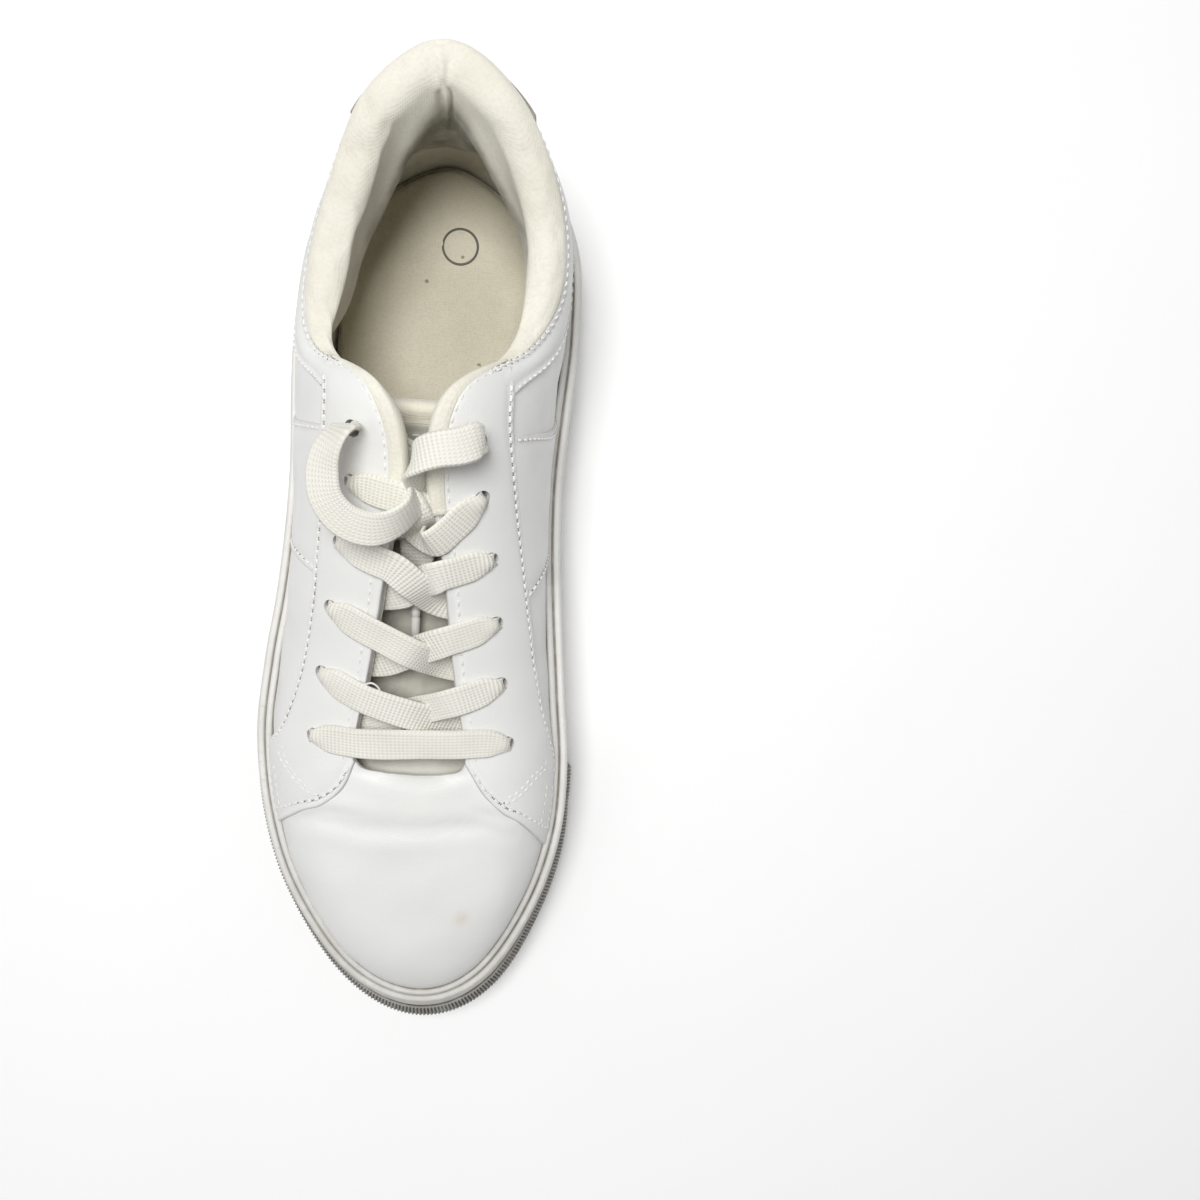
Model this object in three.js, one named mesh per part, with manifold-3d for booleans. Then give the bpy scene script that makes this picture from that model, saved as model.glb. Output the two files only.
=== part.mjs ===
// Low-cut leather court shoe, right foot, size EU 39.5.
// Millimetres. The toe points to -Y, the heel to +Y, the inner (medial) side to +X and +Z is up.
// The origin is on the ground, under the middle of the shoe's box.
import * as THREE from "three";
import { mergeVertices } from "three/addons/utils/BufferGeometryUtils.js";
import Module from "manifold-3d";

// ---- Driving dimensions -------------------------------------------------------------------
const LENGTH_SCALE = 1; // stretches the shoe from heel to toe
const WIDTH_SCALE = 1; // stretches the shoe from side to side
const GAP = 0.3; // air between neighbouring pieces
const OVERLAY_GAP = 0.5; // air under the leather overlays

const FOXING_TOP = 27; // height of the rubber sidewall along the sides
const FOXING_HEEL_RISE = 2; // extra height of the sidewall at the heel
const FOXING_WALL = 4.2; // thickness of the sidewall at its top edge
const FOXING_FOOT = 1.2; // height of the sidewall's lower edge above the tread
const TOE_SPRING = 8; // lift of the sole at the toe tip
const TOE_SPRING_START = -55; // Y where the sole starts to lift
const OUTSOLE_THICK = 4.7; // rubber tread plate
const RIM_WIDTH = 7; // width of the sidewall seen from below
const BUMPER_THICK = 2.4; // ribbed band around the toe
const BUMPER_SHARES = [0.15, 0.8]; // its lower and upper edge, as shares of the sidewall's height
const BUMPER_LATERAL = 8.35; // station where the band starts on the outer side
const BUMPER_MEDIAL = 17.05; // station where it ends on the inner side

const FEATHER_Z = 13; // height of the upper's lower edge, on the midsole
const MIDSOLE_INSET = 2.5; // midsole edge inside the upper's outer face
const BOARD_THICK = 1.3; // stitched-in insole board
const BOARD_INSET = 5.4; // its edge inside the upper's outer face
const SOCKLINER_THICK = 5.6; // removable footbed
const SOCKLINER_INSET = 6.4; // its edge inside the upper's outer face

const SKIN = 1.3; // leather of the vamp and quarters
const OVERLAY = 1.15; // leather of the facings, bands and collar panels
const LINING = 0.9; // textile lining behind the leather
const STIFFENER = 1.1; // heel counter and toe puff
const COLLAR_LINING = 1.1; // textile that rolls over the padded collar
const COLLAR_PAD = 9.6; // full depth of the padded collar, from the outer face inwards
const COLLAR_ROLL = 3; // height of the padded roll above the collar's edge

const EYELET_HOLE = 4.8; // punched hole
const LACE_WIDTH = 6; // flat lace where it lies free
const LACE_BUNCHED = 3; // its width inside an eyelet
const LACE_THICK = 1.4;
const AGLET_DIAMETER = 2.6;
const AGLET_LENGTH = 18;

const TONGUE_BASE = -57; // Y of the tongue's sewn edge
const TONGUE_TIP = 54; // Y of its free edge
const TONGUE_CENTRE = 4; // X of its middle line
const TONGUE_FACE = 1.3; // leather on top
const TONGUE_PAD = 4.2; // foam
const TONGUE_LINING = 1; // textile underneath

// ---- Stations around the shoe ---------------------------------------------------------------
// They run from the heel along the outer side to the toe and back along the inner side.
// foot: X, Y of the upper's lower edge; flare: how far the sole stands out from it at the ground;
// rim: X, Y, Z on the edge of the opening; low and high: the two handles of the curve between,
// each as [distance outwards, height], low from the ground up, high relative to the rim.
const STATIONS = [
  { foot: [3, 135], flare: 4.5, rim: [6.5, 141.6, 75.5], low: [6.5, 36], high: [-10, -18] },
  { foot: [-20, 124], flare: 5.5, rim: [-13, 129.6, 72.5], low: [4, 34], high: [-2, -17] },
  { foot: [-31.5, 103], flare: 6.5, rim: [-24, 107, 64], low: [2, 33], high: [4, -14] },
  { foot: [-34.5, 80], flare: 5.5, rim: [-29, 83, 61.5], low: [2.5, 33], high: [5, -13] },
  { foot: [-34.5, 56], flare: 4.5, rim: [-24, 66, 67], low: [4, 38], high: [12, -8] },
  { foot: [-34.5, 34], flare: 4, rim: [-4.5, 54, 86.5], low: [5, 46], high: [23, -5] },
  { foot: [-35.5, 14], flare: 4.5, rim: [1.3, 36, 83], low: [5.5, 44], high: [25, -4] },
  { foot: [-37.5, -6], flare: 6.5, rim: [-3.5, 8, 70], low: [5, 42], high: [24, -3.5] },
  { foot: [-41, -26], flare: 7.5, rim: [-8.5, -20, 59.5], low: [4, 39], high: [21, -3] },
  { foot: [-43, -48], flare: 8, rim: [-13, -43, 52.8], low: [3, 38], high: [19, -2.5] },
  { foot: [-39.5, -74], flare: 9, rim: [-12, -50, 51.8], low: [2.5, 38], high: [22, -2.5] },
  { foot: [-30.5, -97.5], flare: 10, rim: [-5.5, -51.8, 52.6], low: [2.5, 42], high: [32, -5] },
  { foot: [-13.5, -120], flare: 11.5, rim: [-0.5, -52.2, 53], low: [3, 46], high: [42, -7.5] },
  { foot: [4.5, -128.5], flare: 13.2, rim: [4.5, -52.4, 53], low: [3, 48], high: [45, -8.5] },
  { foot: [20.5, -122.5], flare: 12, rim: [9.5, -52.2, 53], low: [3, 46], high: [42, -7.5] },
  { foot: [34.5, -102], flare: 9.5, rim: [13.5, -51.6, 52.6], low: [2.5, 42], high: [32, -5] },
  { foot: [42.5, -79], flare: 7.5, rim: [18, -49.5, 51.8], low: [2, 38], high: [23, -3] },
  { foot: [44, -56], flare: 5, rim: [18, -42, 52.8], low: [2, 38], high: [21, -2.5] },
  { foot: [41.5, -32], flare: 1, rim: [14.5, -20, 59.5], low: [3, 39], high: [21, -3] },
  { foot: [38.5, -9], flare: -1, rim: [11.8, 6, 69], low: [4.5, 42], high: [23, -3.5] },
  { foot: [36.5, 13], flare: -2.5, rim: [8.5, 34, 82], low: [5.5, 44], high: [25, -4] },
  { foot: [36, 34], flare: -2, rim: [12.5, 54, 86.5], low: [5.5, 46], high: [22, -5] },
  { foot: [37, 56], flare: 0, rim: [30, 68.5, 69], low: [4.5, 38], high: [10, -8] },
  { foot: [38.5, 80], flare: 3.5, rim: [38.5, 86, 63.5], low: [3, 33], high: [4, -13] },
  { foot: [36.5, 104], flare: 5, rim: [36.5, 110, 65.5], low: [3, 33], high: [3, -14] },
  { foot: [25, 124], flare: 5.5, rim: [25, 131.6, 72.5], low: [4, 34], high: [-2, -17] },
];
const COUNT = STATIONS.length;

// Panel edges, as [station, share of the way from the sole to the opening], outer side.
// The inner side mirrors them: station s becomes COUNT - s.
const FACING_EDGE = [
  [4.35, 0.93],
  [4.75, 0.76],
  [5.4, 0.69],
  [6.2, 0.67],
  [7.1, 0.65],
  [8.1, 0.58],
  [8.8, 0.42],
  [9.1, 0.22],
];
const WING_FRONT = 10.08; // station of the wing's front edge
const BAND_REAR = [4.05, 5.3]; // stations of the side band's rear seam, at the sole and the facing
const BAND_FRONT = [6.1, 7.05]; // and of its front seam
const COLLAR_SEAM = 0.66; // share of the way up where the collar panel starts
const HEEL_TAB = 1.25; // half width of the heel tab, in stations
const PANEL_SEAM = 9.5; // vamp meets quarter under the wing
const QUARTER_SPLIT = 4.5; // front and rear quarter meet under the band
const COLLAR_END = 5; // the padded collar ends at the top of the throat
// Punched holes down each facing, as [station, share], toe to ankle.
const EYELETS = [
  [8.9, 0.775],
  [8.13, 0.775],
  [7.42, 0.785],
  [6.74, 0.795],
  [6.16, 0.815],
  [5.52, 0.84],
];

// ---- Colours --------------------------------------------------------------------------------
const WHITE_LEATHER = { color: 0xe4e3df, roughness: 0.5, metalness: 0 };
const BEIGE_LEATHER = { color: 0xb9b1a2, roughness: 0.55, metalness: 0 };
const CREAM_TEXTILE = { color: 0xe2dbc8, roughness: 0.9, metalness: 0 };
const GREY_TEXTILE = { color: 0xa8a092, roughness: 0.95, metalness: 0 };
const RUBBER = { color: 0xcfc9ba, roughness: 0.6, metalness: 0 };
const TREAD_RUBBER = { color: 0xd9cfae, roughness: 0.6, metalness: 0 };
const FOAM = { color: 0xd8d3c4, roughness: 1, metalness: 0 };
const LACE_TEXTILE = { color: 0xefede6, roughness: 0.9, metalness: 0 };
const STIFF_BOARD = { color: 0xc9c2b0, roughness: 0.9, metalness: 0 };
const CLEAR_PLASTIC = { color: 0xdadada, roughness: 0.3, metalness: 0 };

// ---- Small maths ----------------------------------------------------------------------------
const V = (x, y, z) => new THREE.Vector3(x, y, z);
const lerp = THREE.MathUtils.lerp;
const smooth = THREE.MathUtils.smoothstep;

function catmull(a, b, c, d, t) {
  const slopeIn = (c - a) / 2;
  const slopeOut = (d - b) / 2;
  const t2 = t * t;
  const t3 = t2 * t;
  const values = (2 * t3 - 3 * t2 + 1) * b + (3 * t2 - 2 * t3) * c;
  return values + (t3 - 2 * t2 + t) * slopeIn + (t3 - t2) * slopeOut;
}

// The value of pick(station) at a fractional station number, going round.
function around(pick, station) {
  const whole = Math.floor(station);
  const at = (i) => pick(STATIONS[(((whole + i) % COUNT) + COUNT) % COUNT]);
  return catmull(at(-1), at(0), at(1), at(2), station - whole);
}

// An open curve through hand-placed points [x, y, ...], t from 0 to 1.
function along(points, t) {
  const last = points.length - 1;
  const place = Math.min(Math.max(t, 0), 1) * last;
  const i = Math.min(Math.floor(place), last - 1);
  const at = (k, axis) => points[Math.min(Math.max(k, 0), last)][axis];
  return points[0].map((_, axis) =>
    catmull(at(i - 1, axis), at(i, axis), at(i + 1, axis), at(i + 2, axis), place - i),
  );
}

// ---- The upper's outer face -----------------------------------------------------------------
const footX = (s) => around((p) => p.foot[0], s) * WIDTH_SCALE;
const footY = (s) => around((p) => p.foot[1], s) * LENGTH_SCALE;

// Unit vector in plan, pointing away from the shoe's middle, square to the upper's lower edge.
function outwards(s) {
  const step = 0.02;
  const dx = footX(s + step) - footX(s - step);
  const dy = footY(s + step) - footY(s - step);
  const size = Math.hypot(dx, dy);
  return V(dy / size, -dx / size, 0);
}

function meridian(s) {
  const out = outwards(s);
  const foot = V(footX(s), footY(s), FEATHER_Z);
  const rim = V(
    around((p) => p.rim[0], s) * WIDTH_SCALE,
    around((p) => p.rim[1], s) * LENGTH_SCALE,
    around((p) => p.rim[2], s),
  );
  const low = foot.clone().addScaledVector(out, around((p) => p.low[0], s));
  low.z = around((p) => p.low[1], s);
  const high = rim.clone().addScaledVector(out, around((p) => p.high[0], s));
  high.z += around((p) => p.high[1], s);
  return new THREE.CubicBezierCurve3(foot, low, high, rim);
}

const meridians = new Map();
function surface(s, v) {
  if (!meridians.has(s)) meridians.set(s, meridian(s));
  return meridians.get(s).getPoint(v);
}

function normal(s, v) {
  const ds = 0.03;
  const dv = 0.01;
  const alongRim = surface(s + ds, v).sub(surface(s - ds, v));
  const upwards = surface(s, Math.min(v + dv, 1)).sub(surface(s, Math.max(v - dv, 0)));
  return alongRim.cross(upwards).normalize();
}

const NEAR_RIM = 0.97; // share used to find which way the upper runs at its edge
const offset = (s, v, distance) => surface(s, v).addScaledVector(normal(s, v), distance);

// Share of the way up where the upper's face reaches a height.
function shareAt(s, height) {
  let low = 0;
  let high = 0.6;
  for (let i = 0; i < 24; i++) {
    const middle = (low + high) / 2;
    if (surface(s, middle).z < height) low = middle;
    else high = middle;
  }
  return high;
}

const springAt = (y) => {
  const start = TOE_SPRING_START * LENGTH_SCALE;
  const end = footY(13) - around((p) => p.flare, 13);
  const share = Math.max((start - y) / (start - end), 0);
  return TOE_SPRING * share * share;
};
const foxingTop = (s) => FOXING_TOP + FOXING_HEEL_RISE * smooth(footY(s) / LENGTH_SCALE, 60, 130);

// ---- Solids ---------------------------------------------------------------------------------
function volume(positions, faces) {
  const corner = (i) => V(...positions.slice(3 * faces[i], 3 * faces[i] + 3));
  let sum = 0;
  for (let i = 0; i < faces.length; i += 3) sum += corner(i).dot(corner(i + 1).cross(corner(i + 2))) / 6;
  return sum;
}

// A closed body from its corner coordinates and triangles, turned to face outwards.
function closed(positions, faces) {
  if (volume(positions, faces) < 0) faces.reverse();
  const geometry = new THREE.BufferGeometry();
  geometry.setAttribute("position", new THREE.Float32BufferAttribute(positions, 3));
  geometry.setIndex(faces);
  return geometry;
}

// A closed solid between two grids of points of the same size. ring: the rows close on themselves.
function slab(front, back, ring) {
  const rows = front.length;
  const columns = front[0].length;
  const positions = [];
  [front, back].flat(2).forEach((p) => positions.push(p.x, p.y, p.z));
  const id = (side, i, k) => (side * rows + (i % rows)) * columns + k;
  const faces = [];
  const quad = (a, b, c, d) => faces.push(a, b, c, a, c, d);
  const steps = ring ? rows : rows - 1;
  for (let i = 0; i < steps; i++) {
    for (let k = 0; k < columns - 1; k++) {
      quad(id(0, i, k), id(0, i + 1, k), id(0, i + 1, k + 1), id(0, i, k + 1));
      quad(id(1, i, k), id(1, i, k + 1), id(1, i + 1, k + 1), id(1, i + 1, k));
    }
    quad(id(0, i, 0), id(1, i, 0), id(1, i + 1, 0), id(0, i + 1, 0));
    const k = columns - 1;
    quad(id(0, i, k), id(0, i + 1, k), id(1, i + 1, k), id(1, i, k));
  }
  for (let k = 0; k < columns - 1 && !ring; k++) {
    quad(id(0, 0, k), id(0, 0, k + 1), id(1, 0, k + 1), id(1, 0, k));
    const i = rows - 1;
    quad(id(0, i, k), id(1, i, k), id(1, i, k + 1), id(0, i, k + 1));
  }
  return closed(positions, faces);
}

const range = (from, to, steps) => Array.from({ length: steps + 1 }, (_, i) => lerp(from, to, i / steps));

// The shared grid lines between two values, so that layers lie on each other facet by facet.
function lines(from, to, pitch) {
  const first = Math.ceil(from / pitch);
  const last = Math.floor(to / pitch);
  const margin = pitch / 5; // closer lines than this would make slivers
  const inside = range(first, last, last - first)
    .map((i) => i * pitch)
    .filter((value) => value > from + margin && value < to - margin);
  return [from, ...inside, to];
}
const STATION_PITCH = 0.5;
const SHARE_PITCH = 0.125;

// A sheet on the upper between two distances from its outer face, over a range of stations and shares.
function layer(stations, shares, inner, outer) {
  const columns = lines(...shares, SHARE_PITCH);
  const row = (s, distance) => columns.map((v) => offset(s, v, distance));
  const grid = (distance) => lines(...stations, STATION_PITCH).map((s) => row(s, distance));
  return slab(grid(outer), grid(inner), false);
}

// A sheet with slanting edges. place(i, k) gives [station, share] for i and k from 0 to 1.
function sheet(place, rows, columns, inner, outer) {
  const grid = (distance) =>
    range(0, 1, rows).map((i) => range(0, 1, columns).map((k) => offset(...place(i, k), distance)));
  return slab(grid(outer), grid(inner), false);
}

const wasm = await Module();
wasm.setup();

function solid(geometry) {
  const bare = geometry.index ? geometry.toNonIndexed() : geometry.clone();
  bare.deleteAttribute("normal");
  bare.deleteAttribute("uv");
  const merged = mergeVertices(bare, 1e-4);
  const vertProperties = merged.attributes.position.array;
  return new wasm.Manifold(new wasm.Mesh({ numProp: 3, vertProperties, triVerts: merged.index.array }));
}

function geometryOf(body) {
  const mesh = body.getMesh();
  const positions = [];
  for (let i = 0; i < mesh.numVert; i++) {
    const start = i * mesh.numProp;
    positions.push(...mesh.vertProperties.slice(start, start + 3));
  }
  return closed(positions, Array.from(mesh.triVerts));
}

function cut(geometry, tools) {
  const body = tools.reduce((rest, tool) => rest.subtract(solid(tool)), solid(geometry));
  return geometryOf(body);
}

// ---- The object -----------------------------------------------------------------------------
const shoe = new THREE.Group();
function add(name, geometry, look) {
  const mesh = new THREE.Mesh(geometry, new THREE.MeshStandardMaterial(look));
  mesh.name = name;
  shoe.add(mesh);
}
const SIDES = [
  { name: "lateral", station: (s) => s },
  { name: "medial", station: (s) => COUNT - s },
];

// ---- Sole -----------------------------------------------------------------------------------
const ringStations = lines(0, COUNT, STATION_PITCH).slice(0, -1);

// How far the sole stands out from the upper's lower edge at the ground, without the toe band.
const soleFlare = (s) => {
  const full = around((p) => p.flare, s);
  const starts = smooth(s, BUMPER_LATERAL - 1, BUMPER_LATERAL - 0.4);
  const ends = smooth(s, BUMPER_MEDIAL + 0.4, BUMPER_MEDIAL + 1);
  return full - (BUMPER_THICK + GAP) * starts * (1 - ends);
};

// The plan outline at a distance outside the upper's lower edge.
function outline(s, distance) {
  const out = outwards(s);
  return V(footX(s) + out.x * distance, footY(s) + out.y * distance, 0);
}

// A flat plate with rows across the shoe, between two height functions of Y.
function plate(distanceAt, bottom, top) {
  const half = COUNT / 2;
  const stations = lines(STATION_PITCH, half - STATION_PITCH, STATION_PITCH);
  const edge = (s) => outline(s, distanceAt(s));
  const row = (s, i) => {
    const [a, b] = [edge(s), edge(COUNT - s)];
    let middle = a.clone().lerp(b, 0.5);
    if (i === 0) middle = edge(0);
    if (i === stations.length - 1) middle = edge(half);
    return [a, a.clone().lerp(middle, 0.5), middle, b.clone().lerp(middle, 0.5), b];
  };
  const grid = (height) => stations.map((s, i) => row(s, i).map((p) => p.clone().setZ(height(p.y))));
  return slab(grid(top), grid(bottom), false);
}

const outsoleEdge = (s) => around((p) => p.flare, s) - RIM_WIDTH;
add("outsole", plate(outsoleEdge, springAt, (y) => springAt(y) + OUTSOLE_THICK), TREAD_RUBBER);

const MIDSOLE_TOP = FEATHER_Z - GAP;
const MIDSOLE_THINNEST = 0.4; // at the toe, where the sole lifts
const midsoleBottom = (y) =>
  Math.min(springAt(y) + OUTSOLE_THICK + GAP, MIDSOLE_TOP - MIDSOLE_THINNEST);
add("midsole", plate(() => -MIDSOLE_INSET, midsoleBottom, () => MIDSOLE_TOP), FOAM);

const flatPlate = (inset, low, high) => plate(() => -inset, () => low, () => high);
const BOARD_TOP = FEATHER_Z + BOARD_THICK;
const SOCKLINER_BOTTOM = BOARD_TOP + GAP;
add("insole_board", flatPlate(BOARD_INSET, FEATHER_Z, BOARD_TOP), STIFF_BOARD);
const SOCKLINER_TOP = SOCKLINER_BOTTOM + SOCKLINER_THICK;
add("sockliner", flatPlate(SOCKLINER_INSET, SOCKLINER_BOTTOM, SOCKLINER_TOP), GREY_TEXTILE);

// Outer face of the rubber sidewall: share 0 at its lower edge, 1 at its top edge.
const BELLY_HEIGHT = 0.42; // share of the wall's height where it bulges
const BELLY_REACH = 0.85; // of how far its top edge stands out
function wallFace(s, share) {
  const top = offset(s, shareAt(s, foxingTop(s)), GAP + FOXING_WALL);
  top.z = foxingTop(s);
  const foot = outline(s, soleFlare(s));
  foot.z = FOXING_FOOT + springAt(foot.y);
  const topReach = V(top.x - footX(s), top.y - footY(s), 0).dot(outwards(s));
  const belly = outline(s, Math.max(soleFlare(s), topReach * BELLY_REACH));
  belly.z = lerp(foot.z, top.z, BELLY_HEIGHT);
  const handle = belly.multiplyScalar(2).sub(foot.clone().lerp(top, 0.5));
  return new THREE.QuadraticBezierCurve3(foot, handle, top).getPoint(share);
}

const WALL_SHARES = [0, 0.15, 0.3, 0.45, 0.6, 0.8, 1];
function foxing() {
  const outer = ringStations.map((s) => WALL_SHARES.map((share) => wallFace(s, share)));
  const inner = ringStations.map((s) => {
    const sole = outline(s, outsoleEdge(s) + GAP);
    const spring = springAt(sole.y);
    const ledge = outline(s, -MIDSOLE_INSET + GAP);
    const low = sole.clone().setZ(spring + FOXING_FOOT);
    const shelf = sole.clone().setZ(spring + OUTSOLE_THICK + GAP);
    const step = ledge.clone().setZ(Math.min(spring + OUTSOLE_THICK + GAP, MIDSOLE_TOP - 1));
    const seat = ledge.clone().setZ(MIDSOLE_TOP);
    const shares = [0, SHARE_PITCH, shareAt(s, foxingTop(s))];
    return [low, shelf, step, seat, ...shares.map((v) => offset(s, v, GAP + 0.05))];
  });
  return slab(outer, inner, true);
}
add("foxing", foxing(), RUBBER);

function toeBumper() {
  const stations = lines(BUMPER_LATERAL, BUMPER_MEDIAL, STATION_PITCH);
  const [low, high] = BUMPER_SHARES;
  const shares = WALL_SHARES.filter((share) => share >= low && share <= high);
  const place = (s, share, distance) => wallFace(s, share).addScaledVector(outwards(s), distance);
  const grid = (distance) => stations.map((s) => shares.map((share) => place(s, share, distance)));
  return slab(grid(GAP + BUMPER_THICK), grid(GAP), false);
}
add("toe_bumper", toeBumper(), RUBBER);

// ---- Upper: leather -------------------------------------------------------------------------
const ABOVE_FOXING = 0.8; // overlays end this far above the sidewall
const overFoxing = (s) => shareAt(s, foxingTop(s) + ABOVE_FOXING);

// Tools for the lace holes, square to the upper's face.
function eyeletHoles(side) {
  return EYELETS.map(([s, v]) => {
    const hole = new THREE.CylinderGeometry(EYELET_HOLE / 2, EYELET_HOLE / 2, 14, 10);
    const station = side.station(s);
    hole.applyQuaternion(new THREE.Quaternion().setFromUnitVectors(V(0, 1, 0), normal(station, v)));
    const centre = surface(station, v);
    return hole.translate(centre.x, centre.y, centre.z);
  });
}

add("vamp", layer([PANEL_SEAM, COUNT - PANEL_SEAM], [0, 1], -SKIN, 0), WHITE_LEATHER);

const SEAM_GAP = 0.02; // stations left open between two leather skins
const panels = (side) => {
  const holes = eyeletHoles(side);
  const on = (place) => (i, k) => {
    const [s, v] = place(i, k);
    return [side.station(s), v];
  };
  const name = (piece) => piece + "_" + side.name;

  const between = (from, to) => [side.station(from), side.station(to)].sort((a, b) => a - b);
  const front = between(QUARTER_SPLIT + SEAM_GAP, PANEL_SEAM - SEAM_GAP);
  add(name("quarter_front"), cut(layer(front, [0, 1], -SKIN, 0), holes), WHITE_LEATHER);
  const rear = between(SEAM_GAP, QUARTER_SPLIT);
  add(name("quarter_rear"), layer(rear, [0, 1], -SKIN, 0), WHITE_LEATHER);

  const facing = on((i, k) => {
    const bend = 0.86;
    const tip = Math.max((i - bend) / (1 - bend), 0);
    const [s, v] = along(FACING_EDGE, i / bend);
    const outer = tip > 0 ? [lerp(9.1, WING_FRONT, tip), 0] : [s, v];
    outer[1] = Math.max(outer[1], overFoxing(side.station(outer[0])));
    const innerEdge = [lerp(4.5, WING_FRONT - 0.08, i), 1];
    return [lerp(innerEdge[0], outer[0], k), lerp(innerEdge[1], outer[1], k)];
  });
  const low = OVERLAY_GAP;
  add(name("eyestay"), cut(sheet(facing, 22, 5, low, low + OVERLAY), holes), WHITE_LEATHER);

  const band = on((i, k) => {
    const top = along([[BAND_REAR[1], 0.655], [6.2, 0.63], [BAND_FRONT[1], 0.61]], i);
    const bottom = [lerp(BAND_REAR[0], BAND_FRONT[0], i), 0];
    bottom[1] = overFoxing(side.station(bottom[0]));
    return [lerp(bottom[0], top[0], k), lerp(bottom[1], top[1], k)];
  });
  add(name("side_band"), sheet(band, 8, 7, low, low + OVERLAY), WHITE_LEATHER);

  const collar = on((i, k) => {
    const s = lerp(HEEL_TAB + 0.06, 4.2, i);
    const seam = COLLAR_SEAM + 0.12 * smooth(s, 3.2, 4.3);
    return [s, lerp(seam, 1, k)];
  });
  add(name("collar_panel"), sheet(collar, 13, 4, low, low + OVERLAY), WHITE_LEATHER);

  const backing = between(COLLAR_END + STATION_PITCH, PANEL_SEAM - SEAM_GAP);
  const behind = -SKIN - GAP;
  add(name("quarter_lining"), cut(layer(backing, [0, 1], behind - LINING, behind), holes), CREAM_TEXTILE);
};
SIDES.forEach(panels);

const heelTab = (i, k) => {
  const s = lerp(-HEEL_TAB, HEEL_TAB, i);
  return [s, lerp(overFoxing(s), 1, k)];
};
add("heel_tab", sheet(heelTab, 10, 8, OVERLAY_GAP, OVERLAY_GAP + OVERLAY), BEIGE_LEATHER);

// ---- Upper: stiffeners and lining -------------------------------------------------------------
const BEHIND_SKIN = -SKIN - GAP;
const COUNTER_END = 3.5; // stations on each side of the heel
const PUFF_START = 10.5;
const stiffener = (stations) => layer(stations, [0, 0.5], BEHIND_SKIN - STIFFENER, BEHIND_SKIN);
add("heel_counter", stiffener([-COUNTER_END, COUNTER_END]), STIFF_BOARD);
add("toe_puff", stiffener([PUFF_START, COUNT - PUFF_START]), STIFF_BOARD);
const BEHIND_PUFF = BEHIND_SKIN - STIFFENER - GAP;
const overToe = [PANEL_SEAM, COUNT - PANEL_SEAM];
add("vamp_lining", layer(overToe, [0, 1], BEHIND_PUFF - LINING, BEHIND_PUFF), CREAM_TEXTILE);

// Depth of the padded collar's inner face, measured from the upper's outer face. Stations run
// from -COLLAR_END to COLLAR_END, with the heel at 0.
const COLLAR_THIN = 5.4; // depth where there is no foam
const COLLAR_FADE = 2.2; // stations over which the padding thins out towards its ends
function padDepth(s, v) {
  const fade = smooth(COLLAR_END - Math.abs(s), 0, COLLAR_FADE);
  return lerp(COLLAR_THIN, COLLAR_PAD, smooth(v, 0.3, 0.8) * fade);
}

const COLLAR_COLUMNS = [0, 0.25, 0.5, 0.625, 0.75, 0.875];

// The collar lining in section: up its inner wall, over the rim and down behind the skin.
function collarLining() {
  const grid = (shrink) =>
    lines(-COLLAR_END, COLLAR_END, STATION_PITCH).map((s) => {
      const wall = COLLAR_COLUMNS.map((v) => offset(s, v, -padDepth(s, v) + shrink));
      const rim = surface(s, 1);
      const out = normal(s, 1);
      const over = rim.clone().sub(surface(s, NEAR_RIM)).normalize();
      const depth = padDepth(s, 1);
      const behind = -BEHIND_SKIN + shrink + 0.2;
      const span = (depth - shrink - behind) / 2;
      const crown = (angle) =>
        rim
          .clone()
          .addScaledVector(out, -(behind + span) - span * Math.cos(angle))
          .addScaledVector(over, (COLLAR_ROLL - shrink) * Math.sin(angle));
      const roll = range(0, Math.PI, 4).slice(0, -1).map(crown);
      const top = offset(s, 1, -behind);
      const tuck = top.clone().lerp(offset(s, 1 - SHARE_PITCH, -behind), 0.6);
      return [...wall, ...roll, top, tuck];
    });
  return slab(grid(0), grid(COLLAR_LINING), false);
}
add("collar_lining", collarLining(), CREAM_TEXTILE);

// Foam between the skin and the collar lining, above the heel counter.
function collarFoam() {
  const shares = [0.56, 0.65, 0.75, 0.875, 1];
  const stations = lines(-COLLAR_END + STATION_PITCH, COLLAR_END - STATION_PITCH, STATION_PITCH);
  const grid = (depth) => stations.map((s) => shares.map((v) => offset(s, v, depth(s, v))));
  const outer = () => BEHIND_SKIN - COLLAR_LINING - 3 * GAP;
  const inner = (s, v) => -padDepth(s, v) + COLLAR_LINING + 2 * GAP;
  return slab(grid(outer), grid(inner), false);
}
add("collar_foam", collarFoam(), FOAM);

// ---- Tongue ---------------------------------------------------------------------------------
// Middle line of its upper face, [Y, Z], from the sewn edge to the tip.
const TONGUE_LINE = [
  [TONGUE_BASE, 46.9],
  [-46, 45.6],
  [-22, 47.5],
  [4, 55],
  [30, 64.5],
  [TONGUE_TIP, 73],
];
const tongueHalfWidth = (t) => lerp(15, 22, smooth(t, 0.02, 0.45)) * (1 - 0.35 * smooth(t, 0.9, 1));
const TONGUE_DROP = 6; // how far its side edges hang below the middle

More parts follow.
